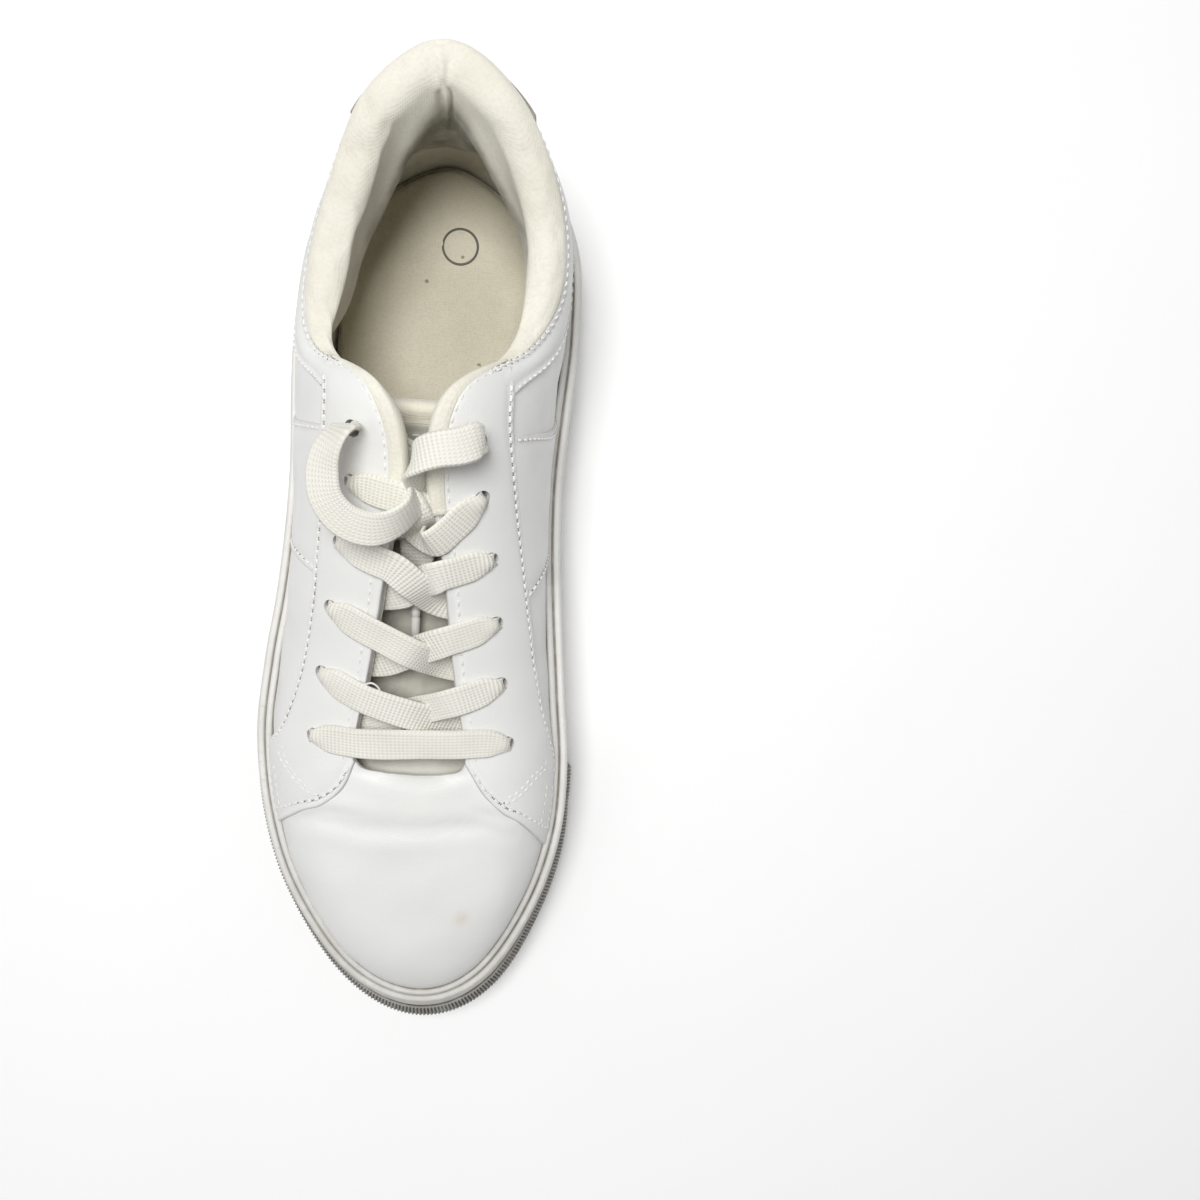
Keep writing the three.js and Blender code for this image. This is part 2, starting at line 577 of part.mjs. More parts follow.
function tongueLayer(top, thick, reach) {
  const stops = [-reach, -0.66, -0.33, 0, 0.33, 0.66, reach];
  const grid = (depth) =>
    range(0, 1, 12).map((t) =>
      stops.map((w) => {
        const [y, z] = along(TONGUE_LINE, t);
        const drop = TONGUE_DROP * w * w * smooth(t, 0, 0.3);
        const x = TONGUE_CENTRE + w * tongueHalfWidth(t);
        return V(x * WIDTH_SCALE, y * LENGTH_SCALE, z - drop - depth);
      }),
    );
  return slab(grid(top), grid(top + thick), false);
}
add("tongue_face", tongueLayer(0, TONGUE_FACE, 1), WHITE_LEATHER);
add("tongue_foam", tongueLayer(TONGUE_FACE + 1.4 * GAP, TONGUE_PAD, 0.9), FOAM);
add("tongue_lining", tongueLayer(TONGUE_FACE + TONGUE_PAD + 2.8 * GAP, TONGUE_LINING, 1), CREAM_TEXTILE);

// ---- Lace -----------------------------------------------------------------------------------
// Each route point is { p, w, width }: a place, the direction of the flat lace's width and how wide it is.
const OVER = OVERLAY_GAP + OVERLAY + GAP + LACE_THICK / 2 + 0.15; // lace lying on the facing
const UNDER = SKIN + GAP + LINING + GAP + LACE_THICK / 2 + 1.25; // lace running behind the facing

// Width direction of a lace lying flat on the upper and running from a to b.
const flatAcross = (a, b, up) => b.clone().sub(a).cross(up).normalize();

// A place just inside the throat, past the facing's edge, at a distance from the upper's outer face.
const PAST_EDGE = 2.1;
function beyondRim(s, distance) {
  const inwards = surface(s, 1).sub(surface(s, NEAR_RIM)).normalize();
  return offset(s, 1, distance).addScaledVector(inwards, PAST_EDGE);
}

// Places on the facing between its edge at one station and an eyelet, the eyelet last.
function overFacing(edgeStation, eyeletStation, eyeletShare, distance) {
  return [0.3, 0.65, 1].map((t) =>
    offset(lerp(edgeStation, eyeletStation, t), lerp(1, eyeletShare, t), distance),
  );
}

// One crossing: from the eyelet of a row on one side, behind that facing, up through the throat
// and over to the next row's eyelet on the other side. lift: height of the lace at mid throat.
function crossing(row, side, lift) {
  const from = SIDES[side];
  const to = SIDES[1 - side];
  const [s0, v0] = EYELETS[row];
  const [s1, v1] = EYELETS[row + 1];
  const shift = 0.12; // the lace leaves the facing a little nearer the ankle than its eyelet
  const start = from.station(s0);
  const end = to.station(s1);
  const leave = from.station(s0 - shift);
  const arrive = to.station(lerp(s0, s1, 0.72));
  const below = offset(start, v0, -UNDER);
  const edgeUnder = beyondRim(leave, -UNDER);
  const edgeOver = beyondRim(arrive, OVER);
  const middle = edgeUnder.clone().add(edgeOver).multiplyScalar(0.5);
  middle.z = lerp(surface(leave, 1).z, surface(arrive, 1).z, 0.5) + lift;
  const under = flatAcross(below, edgeUnder, normal(start, v0));
  const open = flatAcross(edgeUnder, edgeOver, normal(leave, 1).add(normal(arrive, 1)));
  const above = overFacing(arrive, end, v1, OVER);
  const over = flatAcross(edgeOver, above[2], normal(end, v1));
  return [
    { p: below, w: under, width: LACE_BUNCHED },
    { p: below.clone().lerp(edgeUnder, 0.5), w: under, width: LACE_WIDTH * 0.8 },
    { p: edgeUnder, w: open, width: LACE_WIDTH },
    { p: middle, w: open, width: LACE_WIDTH },
    { p: edgeOver, w: over, width: LACE_WIDTH },
    { p: above[0], w: over, width: LACE_WIDTH },
    { p: above[1], w: over, width: LACE_WIDTH * 0.8 },
    { p: above[2], w: over, width: LACE_BUNCHED },
  ];
}

// The lace inside an eyelet, at the middle of the hole.
function inHole(row, side, w) {
  const station = SIDES[side].station(EYELETS[row][0]);
  return { p: offset(station, EYELETS[row][1], -0.4), w, width: LACE_BUNCHED };
}

// The loose ends above the top eyelets, chosen by hand: [x, y, z, width direction x, y, z].
const TAIL_LATERAL = [
  [-11, 45.5, 91.5, 0, 1, 0],
  [-19, 42, 88, 0.35, 0.9, 0.2],
  [-22.5, 33.5, 83, 0.9, 0, 0.3],
  [-16.5, 25, 82.6, 0.5, -0.8, 0],
  [-6, 20.5, 82, 0.3, -0.9, 0],
  [0.6, 19, 80.3, 0.2, -0.95, 0],
  [4.4, 18, 76, 0.2, -0.95, 0],
  [5.2, 17.5, 68, 0.2, -0.95, 0],
  [4, 10, 62, 1, 0.1, 0],
  [3.2, -1, 57.6, 1, 0, 0],
];
const TAIL_MEDIAL = [
  [20.5, 43.5, 91.5, 0, 1, 0],
  [13, 41.5, 92.4, 0, 1, 0],
  [5, 40, 92.4, 0, 1, 0],
  [-1, 36.5, 92, 0.5, 0.85, 0],
  [-0.5, 30, 90.5, 1, 0.3, 0.2],
  [5.5, 27.2, 88.5, 0.3, 0.95, 0],
  [8.8, 32, 88, 0, 1, 0.2],
  [5.2, 36.5, 83, 0, 1, 0],
  [4.8, 37.5, 75, 0, 1, 0],
  [8.5, 34, 70, -0.5, 0.8, 0],
  [12.5, 23, 65.6, -1, 0.1, 0],
];

const FIRST_ROW = EYELETS[0];
const BAR_STATION = 8.95; // where the straight bar of the first row crosses each facing's edge

function firstBar() {
  const half = (side) => {
    const places = overFacing(side.station(BAR_STATION), side.station(FIRST_ROW[0]), FIRST_ROW[1], OVER);
    return [beyondRim(side.station(BAR_STATION), OVER + 0.2), ...places];
  };
  const [outer, inner] = SIDES.map(half);
  const middle = outer[0].clone().lerp(inner[0], 0.5).setZ(outer[0].z + 0.8);
  const up = normal(SIDES[0].station(FIRST_ROW[0]), 1);
  const w = flatAcross(outer[0], inner[0], up);
  const widths = [LACE_WIDTH, LACE_WIDTH, LACE_WIDTH * 0.8, LACE_BUNCHED];
  const points = (places) => places.map((p, i) => ({ p, w, width: widths[i] }));
  return [...points(outer).reverse(), { p: middle, w, width: LACE_WIDTH }, ...points(inner)];
}

// The last crossing stays behind both facings and comes up through the top eyelet.
function topCrossing(row, side) {
  const run = crossing(row, side, 0).slice(0, 2);
  const [s1, v1] = EYELETS[row + 1];
  const station = SIDES[1 - side].station(s1);
  const hole = offset(station, v1, -UNDER);
  const w = flatAcross(run[1].p, hole, normal(station, v1));
  const sag = 1.5;
  const between = run[1].p.clone().lerp(hole, 0.5).sub(V(0, 0, sag));
  return [
    ...run,
    { p: between, w, width: LACE_WIDTH * 0.8 },
    { p: hole, w, width: LACE_BUNCHED },
    { p: offset(station, v1, -0.4), w, width: LACE_BUNCHED },
    { p: offset(station, v1, OVER), w, width: LACE_BUNCHED },
  ];
}

const LIFT = 1.4; // half the height between two laces where they cross
function strand(firstSide, lift) {
  const points = [];
  const lastRow = EYELETS.length - 1;
  for (let row = 0; row < lastRow; row++) {
    const side = (firstSide + row) % 2;
    const before = points.length ? points[points.length - 1].w : V(0, 1, 0);
    const run = row === lastRow - 1 ? topCrossing(row, side) : crossing(row, side, row % 2 ? -lift : lift);
    points.push(inHole(row, side, before), ...run);
  }
  return points;
}

function laceRoute() {
  const tail = (list) =>
    list.map(([x, y, z, a, b, c]) => ({
      p: V(x * WIDTH_SCALE, y * LENGTH_SCALE, z),
      w: V(a, b, c).normalize(),
      width: LACE_WIDTH,
    }));
  const toMedial = [...strand(0, -LIFT), ...tail(TAIL_MEDIAL)];
  const toLateral = [...strand(1, LIFT), ...tail(TAIL_LATERAL)];
  const points = [...toMedial.reverse(), ...firstBar(), ...toLateral];
  points[0].width = LACE_BUNCHED;
  points[points.length - 1].width = LACE_BUNCHED;
  for (let i = 1; i < points.length; i++) {
    points[i].w = points[i].w.clone();
    if (points[i].w.dot(points[i - 1].w) < 0) points[i].w.negate();
  }
  return points;
}

// A flat cord with rounded edges through the route's points.
function ribbon(route, thick) {
  const steps = 2;
  const corners = [[1, 1], [1, -1], [-1, -1], [-1, 1]];
  const curve = new THREE.CatmullRomCurve3(route.map((r) => r.p), false, "centripetal");
  const last = route.length - 1;
  const sections = range(0, last, last * steps).map((place) => {
    const i = Math.min(Math.floor(place), last - 1);
    const t = place - i;
    const centre = curve.getPoint(place / last);
    const tangent = curve.getTangent(place / last);
    const w = route[i].w.clone().lerp(route[i + 1].w, t);
    w.addScaledVector(tangent, -w.dot(tangent)).normalize();
    const n = w.clone().cross(tangent);
    const width = lerp(route[i].width, route[i + 1].width, t);
    const bunched = 1 - smooth(width, LACE_BUNCHED, LACE_WIDTH * 0.8);
    const height = thick * lerp(1, 1.45, bunched);
    return corners.map(([a, b]) =>
      centre.clone().addScaledVector(w, (a * width) / 2).addScaledVector(n, (b * height) / 2),
    );
  });
  return loft(sections);
}

// A closed solid through rings of points, capped at both ends.
function loft(sections) {
  const sides = sections[0].length;
  const positions = sections.flatMap((ring) => ring.flatMap((p) => [p.x, p.y, p.z]));
  const faces = [];
  for (let i = 0; i < sections.length - 1; i++) {
    for (let k = 0; k < sides; k++) {
      const a = i * sides + k;
      const b = i * sides + ((k + 1) % sides);
      faces.push(a, b, b + sides, a, b + sides, a + sides);
    }
  }
  const end = (sections.length - 1) * sides;
  for (let k = 1; k < sides - 1; k++) {
    faces.push(0, k + 1, k);
    faces.push(end, end + k, end + k + 1);
  }
  return closed(positions, faces);
}

const route = laceRoute();
add("lace", ribbon(route, LACE_THICK), LACE_TEXTILE);

// The hard tips on the lace's two ends, in line with its last stretch.
function aglet(end, before) {
  const direction = end.clone().sub(before).normalize();
  const tip = new THREE.CylinderGeometry(AGLET_DIAMETER / 2, AGLET_DIAMETER / 2, AGLET_LENGTH, 8);
  tip.applyQuaternion(new THREE.Quaternion().setFromUnitVectors(V(0, 1, 0), direction));
  const centre = end.clone().addScaledVector(direction, AGLET_LENGTH / 2 + 2 * GAP);
  return tip.translate(centre.x, centre.y, centre.z);
}
const lastPoint = route.length - 1;
add("aglet_medial", aglet(route[0].p, route[1].p), CLEAR_PLASTIC);
add("aglet_lateral", aglet(route[lastPoint].p, route[lastPoint - 1].p), CLEAR_PLASTIC);

export default shoe;
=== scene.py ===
import bpy
import numpy as np
from mathutils import Matrix, Vector


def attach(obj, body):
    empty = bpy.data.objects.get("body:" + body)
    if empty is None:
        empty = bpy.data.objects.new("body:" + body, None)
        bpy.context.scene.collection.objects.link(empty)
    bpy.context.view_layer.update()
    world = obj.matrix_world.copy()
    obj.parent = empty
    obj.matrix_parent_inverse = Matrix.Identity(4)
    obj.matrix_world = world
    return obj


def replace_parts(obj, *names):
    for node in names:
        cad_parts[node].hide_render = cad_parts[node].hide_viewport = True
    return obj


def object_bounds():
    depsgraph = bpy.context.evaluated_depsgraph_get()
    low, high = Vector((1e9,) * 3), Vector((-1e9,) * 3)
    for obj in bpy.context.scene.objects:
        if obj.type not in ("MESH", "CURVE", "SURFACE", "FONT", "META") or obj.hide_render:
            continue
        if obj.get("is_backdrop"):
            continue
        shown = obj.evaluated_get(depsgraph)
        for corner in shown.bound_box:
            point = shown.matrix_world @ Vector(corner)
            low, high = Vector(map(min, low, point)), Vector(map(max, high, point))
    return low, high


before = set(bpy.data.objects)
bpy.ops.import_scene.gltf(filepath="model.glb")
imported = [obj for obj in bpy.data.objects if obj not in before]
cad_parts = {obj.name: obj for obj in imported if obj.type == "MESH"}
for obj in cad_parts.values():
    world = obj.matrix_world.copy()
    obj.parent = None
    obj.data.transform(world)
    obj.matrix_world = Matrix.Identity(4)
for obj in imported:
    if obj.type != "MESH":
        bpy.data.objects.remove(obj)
CAD_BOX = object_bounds()
MM = 0.001

# ---- The upper's shape, in millimetres ---------------------------------------------------------
# foot x, y | sole flare | rim x, y, z | low handle out, z | high handle out, z from the rim
STATIONS = np.array([
    [3, 135, 4.5, 6.5, 141.6, 75.5, 6.5, 36, -10, -18],
    [-20, 124, 5.5, -13, 129.6, 72.5, 4, 34, -2, -17],
    [-31.5, 103, 6.5, -24, 107, 64, 2, 33, 4, -14],
    [-34.5, 80, 5.5, -29, 83, 61.5, 2.5, 33, 5, -13],
    [-34.5, 56, 4.5, -24, 66, 67, 4, 38, 12, -8],
    [-34.5, 34, 4, -4.5, 54, 86.5, 5, 46, 23, -5],
    [-35.5, 14, 4.5, 1.3, 36, 83, 5.5, 44, 25, -4],
    [-37.5, -6, 6.5, -3.5, 8, 70, 5, 42, 24, -3.5],
    [-41, -26, 7.5, -8.5, -20, 59.5, 4, 39, 21, -3],
    [-43, -48, 8, -13, -43, 52.8, 3, 38, 19, -2.5],
    [-39.5, -74, 9, -12, -50, 51.8, 2.5, 38, 22, -2.5],
    [-30.5, -97.5, 10, -5.5, -51.8, 52.6, 2.5, 42, 32, -5],
    [-13.5, -120, 11.5, -0.5, -52.2, 53, 3, 46, 42, -7.5],
    [4.5, -128.5, 13.2, 4.5, -52.4, 53, 3, 48, 45, -8.5],
    [20.5, -122.5, 12, 9.5, -52.2, 53, 3, 46, 42, -7.5],
    [34.5, -102, 9.5, 13.5, -51.6, 52.6, 2.5, 42, 32, -5],
    [42.5, -79, 7.5, 18, -49.5, 51.8, 2, 38, 23, -3],
    [44, -56, 5, 18, -42, 52.8, 2, 38, 21, -2.5],
    [41.5, -32, 1, 14.5, -20, 59.5, 3, 39, 21, -3],
    [38.5, -9, -1, 11.8, 6, 69, 4.5, 42, 23, -3.5],
    [36.5, 13, -2.5, 8.5, 34, 82, 5.5, 44, 25, -4],
    [36, 34, -2, 12.5, 54, 86.5, 5.5, 46, 22, -5],
    [37, 56, 0, 30, 68.5, 69, 4.5, 38, 10, -8],
    [38.5, 80, 3.5, 38.5, 86, 63.5, 3, 33, 4, -13],
    [36.5, 104, 5, 36.5, 110, 65.5, 3, 33, 3, -14],
    [25, 124, 5.5, 25, 131.6, 72.5, 4, 34, -2, -17],
], float)
COUNT = len(STATIONS)
FEATHER_Z = 13
GAP = 0.3
RIM_WIDTH = 7
FOXING_FOOT = 1.2
FOXING_WALL = 4.2
BUMPER_THICK = 2.4
BUMPER = (8.35, 17.05)
OUTSOLE_THICK = 4.7
SOCKLINER = (14.6, 20.2, 6.4)  # lower face, upper face, inset
OVERLAY = 1.3  # how far the overlays stand off the skin
THIN = 1.0  # the same for the side bands and collar panels
SUNK = 0.05  # how far a seam is pulled into its panel
RIB_PITCH, STITCH_PITCH = 0.92, 1.15  # of the lace's knitting


def catmull(a, b, c, d, t):
    slope_in, slope_out = (c - a) / 2, (d - b) / 2
    t2, t3 = t * t, t * t * t
    value = (2 * t3 - 3 * t2 + 1) * b + (3 * t2 - 2 * t3) * c
    return value + (t3 - 2 * t2 + t) * slope_in + (t3 - t2) * slope_out


def around(s):
    """All station values at fractional station numbers."""
    s = np.asarray(s, float)
    i = np.floor(s).astype(int)
    rows = [STATIONS[(i + k) % COUNT] for k in (-1, 0, 1, 2)]
    return catmull(*rows, (s - i)[..., None])


def smooth(x, low, high):
    t = np.clip((np.asarray(x, float) - low) / (high - low), 0, 1)
    return t * t * (3 - 2 * t)


def plateau(x, low, full, falling, gone):
    """Rises from 0 at low to 1 at full, and falls from 1 at falling to 0 at gone."""
    return smooth(x, low, full) * (1 - smooth(x, falling, gone))


def hump(x, width):
    """1 where x is 0, and close to 0 two widths away."""
    return np.exp(-((x / width) ** 2))


def edge_round(e, size):
    """Quarter-round edge: 0 on the edge and 1 from that distance inwards."""
    return np.sqrt(np.clip(1 - (1 - np.clip(e / size, 0, 1)) ** 2, 0, 1))


def lerp(a, b, t):
    return a + (b - a) * t


def unit(v):
    return v / np.maximum(np.linalg.norm(v, axis=-1, keepdims=True), 1e-12)


def outwards(s):
    """Level direction away from the foot at a station."""
    s = np.asarray(s, float)
    d = around(s + 0.02)[..., :2] - around(s - 0.02)[..., :2]
    return unit(np.stack([d[..., 1], -d[..., 0], np.zeros(s.shape)], -1))


def surface(s, v):
    """The upper's skin at station s and share v of the way from the sole to the rim."""
    s, v = np.broadcast_arrays(np.asarray(s, float), np.asarray(v, float))
    p, out = around(s), outwards(s)
    foot = np.stack([p[..., 0], p[..., 1], np.full(s.shape, float(FEATHER_Z))], -1)
    rim = p[..., 3:6]
    low = foot + out * p[..., 6:7]
    low[..., 2] = p[..., 7]
    high = rim + out * p[..., 8:9]
    high[..., 2] += p[..., 9]
    t = v[..., None]
    u = 1 - t
    return u**3 * foot + 3 * u * u * t * low + 3 * u * t * t * high + t**3 * rim


def normal(s, v):
    s, v = np.broadcast_arrays(np.asarray(s, float), np.asarray(v, float))
    along = surface(s + 0.03, v) - surface(s - 0.03, v)
    up = surface(s, np.minimum(v + 0.01, 1)) - surface(s, np.maximum(v - 0.01, 0))
    return unit(np.cross(along, up))


def offset(s, v, d):
    d = np.asarray(d, float)
    return surface(s, v) + normal(s, v) * d[..., None]


def over_rim(s):
    """The way the upper leaves its rim, from the skin towards the opening."""
    return unit(surface(s, 1.0) - surface(s, 0.97))


def share_at(s, height):
    """The share of the way up at which the skin reaches a height."""
    low, high = np.zeros(np.shape(s)), np.full(np.shape(s), 0.6)
    for _ in range(24):
        mid = (low + high) / 2
        under = surface(s, mid)[..., 2] < height
        low, high = np.where(under, mid, low), np.where(under, high, mid)
    return high


def foxing_top(s):
    return 27 + 2 * smooth(around(s)[..., 1], 60, 130)


def over_foxing(s):
    return share_at(s, foxing_top(s) - 0.4)


def spring_at(y):
    """How far the toe end of the sole is lifted off the ground."""
    tip = STATIONS[13, 1] - STATIONS[13, 2]
    return 8 * np.clip((-55 - np.asarray(y, float)) / (-55 - tip), 0, None) ** 2


def outline(s, d):
    """The foot's outline moved outwards by d, on the ground."""
    p = around(s)
    flat = np.stack([p[..., 0], p[..., 1], np.zeros(np.shape(s))], -1)
    return flat + outwards(s) * np.asarray(d, float)[..., None]


def sole_flare(s):
    fade = plateau(s, BUMPER[0] - 1, BUMPER[0] - 0.4, BUMPER[1] + 0.4, BUMPER[1] + 1)
    return around(s)[..., 2] - (BUMPER_THICK + GAP) * fade


def wall_face(s, t):
    """Outer face of the rubber sidewall, t 0 at its lower edge and 1 at its top edge."""
    top = offset(s, share_at(s, foxing_top(s)), np.full(np.shape(s), GAP + FOXING_WALL))
    top[..., 2] = foxing_top(s)
    foot = outline(s, sole_flare(s))
    foot[..., 2] = FOXING_FOOT + spring_at(foot[..., 1])
    level = top - np.concatenate([around(s)[..., :2], top[..., 2:]], -1)
    reach = np.maximum(sole_flare(s), np.sum(level * outwards(s), -1) * 0.85)
    belly = outline(s, reach)
    belly[..., 2] = lerp(foot[..., 2], top[..., 2], 0.42)
    handle = 2 * belly - (foot + top) / 2
    t = np.asarray(t, float)[..., None]
    return (1 - t) ** 2 * foot + 2 * t * (1 - t) * handle + t * t * top


# ---- Meshes ------------------------------------------------------------------------------------
SCENE = bpy.context.scene


def build(name, verts, faces, material, body="shoe", slot=None, attributes=None, sharp=None):
    """A mesh object from vertices in millimetres and faces of three or four corners."""
    mesh = bpy.data.meshes.new(name)
    verts = np.asarray(verts, float).reshape(-1, 3) * MM
    mesh.from_pydata(verts.tolist(), [], np.asarray(faces).tolist() if not isinstance(faces, list) else faces)
    mesh.polygons.foreach_set("use_smooth", np.ones(len(mesh.polygons), bool))
    for key, values in (attributes or {}).items():
        layer = mesh.attributes.new(key, "FLOAT", "POINT")
        layer.data.foreach_set("value", np.asarray(values, np.float32).ravel())
    mesh.update()
    if sharp:
        mesh.set_sharp_from_angle(angle=np.radians(sharp))
    obj = bpy.data.objects.new(name, mesh)
    SCENE.collection.objects.link(obj)
    obj.data.materials.append(material)
    if body:
        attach(obj, body)
    return obj


def grid_faces(rows, columns, wrap_rows=False, wrap_columns=False, start=0):
    i = np.arange(rows if wrap_rows else rows - 1)
    k = np.arange(columns if wrap_columns else columns - 1)
    i, k = np.meshgrid(i, k, indexing="ij")
    i2, k2 = (i + 1) % rows, (k + 1) % columns
    quads = np.stack([i * columns + k, i2 * columns + k, i2 * columns + k2, i * columns + k2], -1)
    return quads.reshape(-1, 4) + start


def tube_faces(count, sides):
    """Faces of a closed tube of rings, with a flat cap at each end."""
    last = (count - 1) * sides
    caps = [list(range(sides)), list(range(last + sides - 1, last - 1, -1))]
    return grid_faces(count, sides, wrap_columns=True).tolist() + caps


def closed_slab(front, back):
    """Vertices and faces of a closed sheet between two equal grids."""
    rows, columns = front.shape[:2]
    n = rows * columns
    faces = [grid_faces(rows, columns), grid_faces(rows, columns, start=n)[:, ::-1]]
    ids = np.arange(n).reshape(rows, columns)
    loop = np.concatenate([ids[0], ids[1:, -1], ids[-1, -2::-1], ids[-2:0:-1, 0]])
    ahead = np.roll(loop, -1)
    faces.append(np.stack([loop, ahead, ahead + n, loop + n], -1))
    return np.concatenate([front.reshape(-1, 3), back.reshape(-1, 3)]), np.concatenate(faces)


def facing_out(verts, faces):
    """The same closed faces, turned so that they face outwards."""
    a, b, c, d = (verts[faces[:, k]] for k in range(4))
    volume = np.sum(a * np.cross(b, c)) + np.sum(a * np.cross(c, d))
    return faces if volume > 0 else faces[:, ::-1]


def slab(name, front, back, *rest, **more):
    """Builds a closed sheet between two equal grids."""
    verts, faces = closed_slab(front, back)
    return build(name, verts, facing_out(verts, faces), *rest, **more)


def graded(length, pitch, edge=(0, 0.12, 0.3, 0.55, 0.9, 1.4, 2.0, 2.6, 3.3)):
    """Shares from 0 to 1, close together near both ends of a stretch of that length in mm."""
    ends = np.array([e for e in edge if e < length / 2 - pitch / 3])
    inner = np.linspace(ends[-1], length - ends[-1], max(int((length - 2 * ends[-1]) / pitch), 1) + 1)
    return np.unique(np.round(np.concatenate([ends, inner, length - ends]), 4)) / length


def travel(points):
    """Distance along a line of points, 0 at the first."""
    return np.concatenate([[0], np.cumsum(np.linalg.norm(np.diff(points, axis=0), axis=1))])


def circle(a, b, count):
    """Directions round a full turn in the plane of a and b."""
    turn = np.arange(count) * 2 * np.pi / count
    a, b = np.asarray(a)[..., None, :], np.asarray(b)[..., None, :]
    return a * np.cos(turn)[:, None] + b * np.sin(turn)[:, None]


def noise(p, size, seed=0):
    """Smooth repeatable noise between about -1 and 1 at points in mm."""
    rng = np.random.default_rng(seed)
    total = np.zeros(p.shape[:-1])
    for _ in range(5):
        way = unit(rng.normal(size=3)) * rng.uniform(0.6, 1.5) * 2 * np.pi / size
        total += np.sin(p @ way + rng.uniform(0, 6.28))
    return total / 2.6


# ---- Materials ---------------------------------------------------------------------------------
class Nodes:
    """A short way to wire a node material."""

    def __init__(self, name):
        self.material = bpy.data.materials.new(name)
        self.material.use_nodes = True
        self.tree = self.material.node_tree
        self.shader = self.tree.nodes["Principled BSDF"]
        self.place = self.tree.nodes.new("ShaderNodeTexCoord").outputs["Object"]

    def link(self, value, socket):
        if isinstance(value, bpy.types.NodeSocket):
            self.tree.links.new(value, socket)
        else:
            socket.default_value = value

    def add(self, kind, inputs=None, **settings):
        node = self.tree.nodes.new("ShaderNode" + kind)
        for key, value in settings.items():
            setattr(node, key, value)
        for key, value in (inputs or {}).items():
            self.link(value, node.inputs[key])
        return node

    def noise(self, size_mm, detail=3, roughness=0.55, vector=None, distortion=0):
        inputs = {"Vector": vector or self.place, "Scale": 1000 / size_mm, "Detail": detail}
        inputs.update({"Roughness": roughness, "Distortion": distortion})
        return self.add("TexNoise", inputs).outputs["Fac"]

    def cells(self, size_mm, feature="F1", vector=None, randomness=1.0):
        inputs = {"Vector": vector or self.place, "Scale": 1000 / size_mm, "Randomness": randomness}
        return self.add("TexVoronoi", inputs, feature=feature).outputs["Distance"]

    def attribute(self, name):
        return self.add("Attribute", attribute_name=name).outputs["Fac"]

    def math(self, operation, a, b=0.0):
        return self.add("Math", {0: a, 1: b}, operation=operation).outputs[0]

    def times(self, a, b):
        return self.math("MULTIPLY", a, b)

    def plus(self, a, b):
        return self.math("ADD", a, b)

    def step(self, value, low, high, to_low=0.0, to_high=1.0):
        inputs = {"Value": value, "From Min": low, "From Max": high, "To Min": to_low, "To Max": to_high}
        return self.add("MapRange", inputs, interpolation_type="SMOOTHSTEP").outputs["Result"]

    def mix(self, share, a, b):
        node = self.add("Mix", data_type="RGBA")
        self.link(share, node.inputs[0])
        for value, socket in ((a, node.inputs[6]), (b, node.inputs[7])):
            self.link(value if isinstance(value, bpy.types.NodeSocket) else (*value, 1), socket)
        return node.outputs[2]

    def bump(self, height, distance_mm, strength=1.0, onto=None):
        inputs = {"Height": height, "Distance": distance_mm * MM, "Strength": strength}
        if onto:
            inputs["Normal"] = onto
        return self.add("Bump", inputs).outputs["Normal"]

    def done(self, colour, roughness, bump=None, **uniform):
        self.link(colour, self.shader.inputs["Base Color"])
        self.link(roughness, self.shader.inputs["Roughness"])
        if bump:
            self.link(bump, self.shader.inputs["Normal"])
        for key, value in uniform.items():
            self.shader.inputs[key.replace("_", " ")].default_value = value
        return self.material


def darker(colour, share):
    return tuple(share * x for x in colour)


def leather(name, base, soiled, grain=0.9, depth=0.05):
    """Coated leather: pebbled grain, faint cloudy soiling, greyer cut edges and scuffs; on the tongue the
    'edge' attribute also carries painted shade.
    """
    n = Nodes(name)
    cloud = n.step(n.noise(38, 4), 0.35, 0.75)
    fleck = n.step(n.noise(2.2, 2), 0.62, 0.8)
    colour = n.mix(n.times(cloud, 0.35), base, soiled)
    colour = n.mix(n.times(fleck, 0.12), colour, soiled)
    edge = n.times(n.attribute("edge"), n.step(n.noise(6, 2), 0.25, 0.7, 0.35, 0.9))
    colour = n.mix(edge, colour, darker(soiled, 0.72))
    stain = n.attribute("stain")
    colour = n.mix(stain, colour, (0.62, 0.49, 0.35))
    pebble = n.cells(grain, "DISTANCE_TO_EDGE")
    fine = n.bump(n.step(pebble, 0.0, 0.25), depth, 0.35)
    soft = n.bump(n.noise(14, 3), 0.35, 0.25, onto=fine)
    rough = n.step(n.noise(9, 3), 0.3, 0.7, 0.42, 0.56)
    return n.done(colour, rough, soft, Specular_IOR_Level=0.45, Coat_Weight=0.06, Coat_Roughness=0.35)


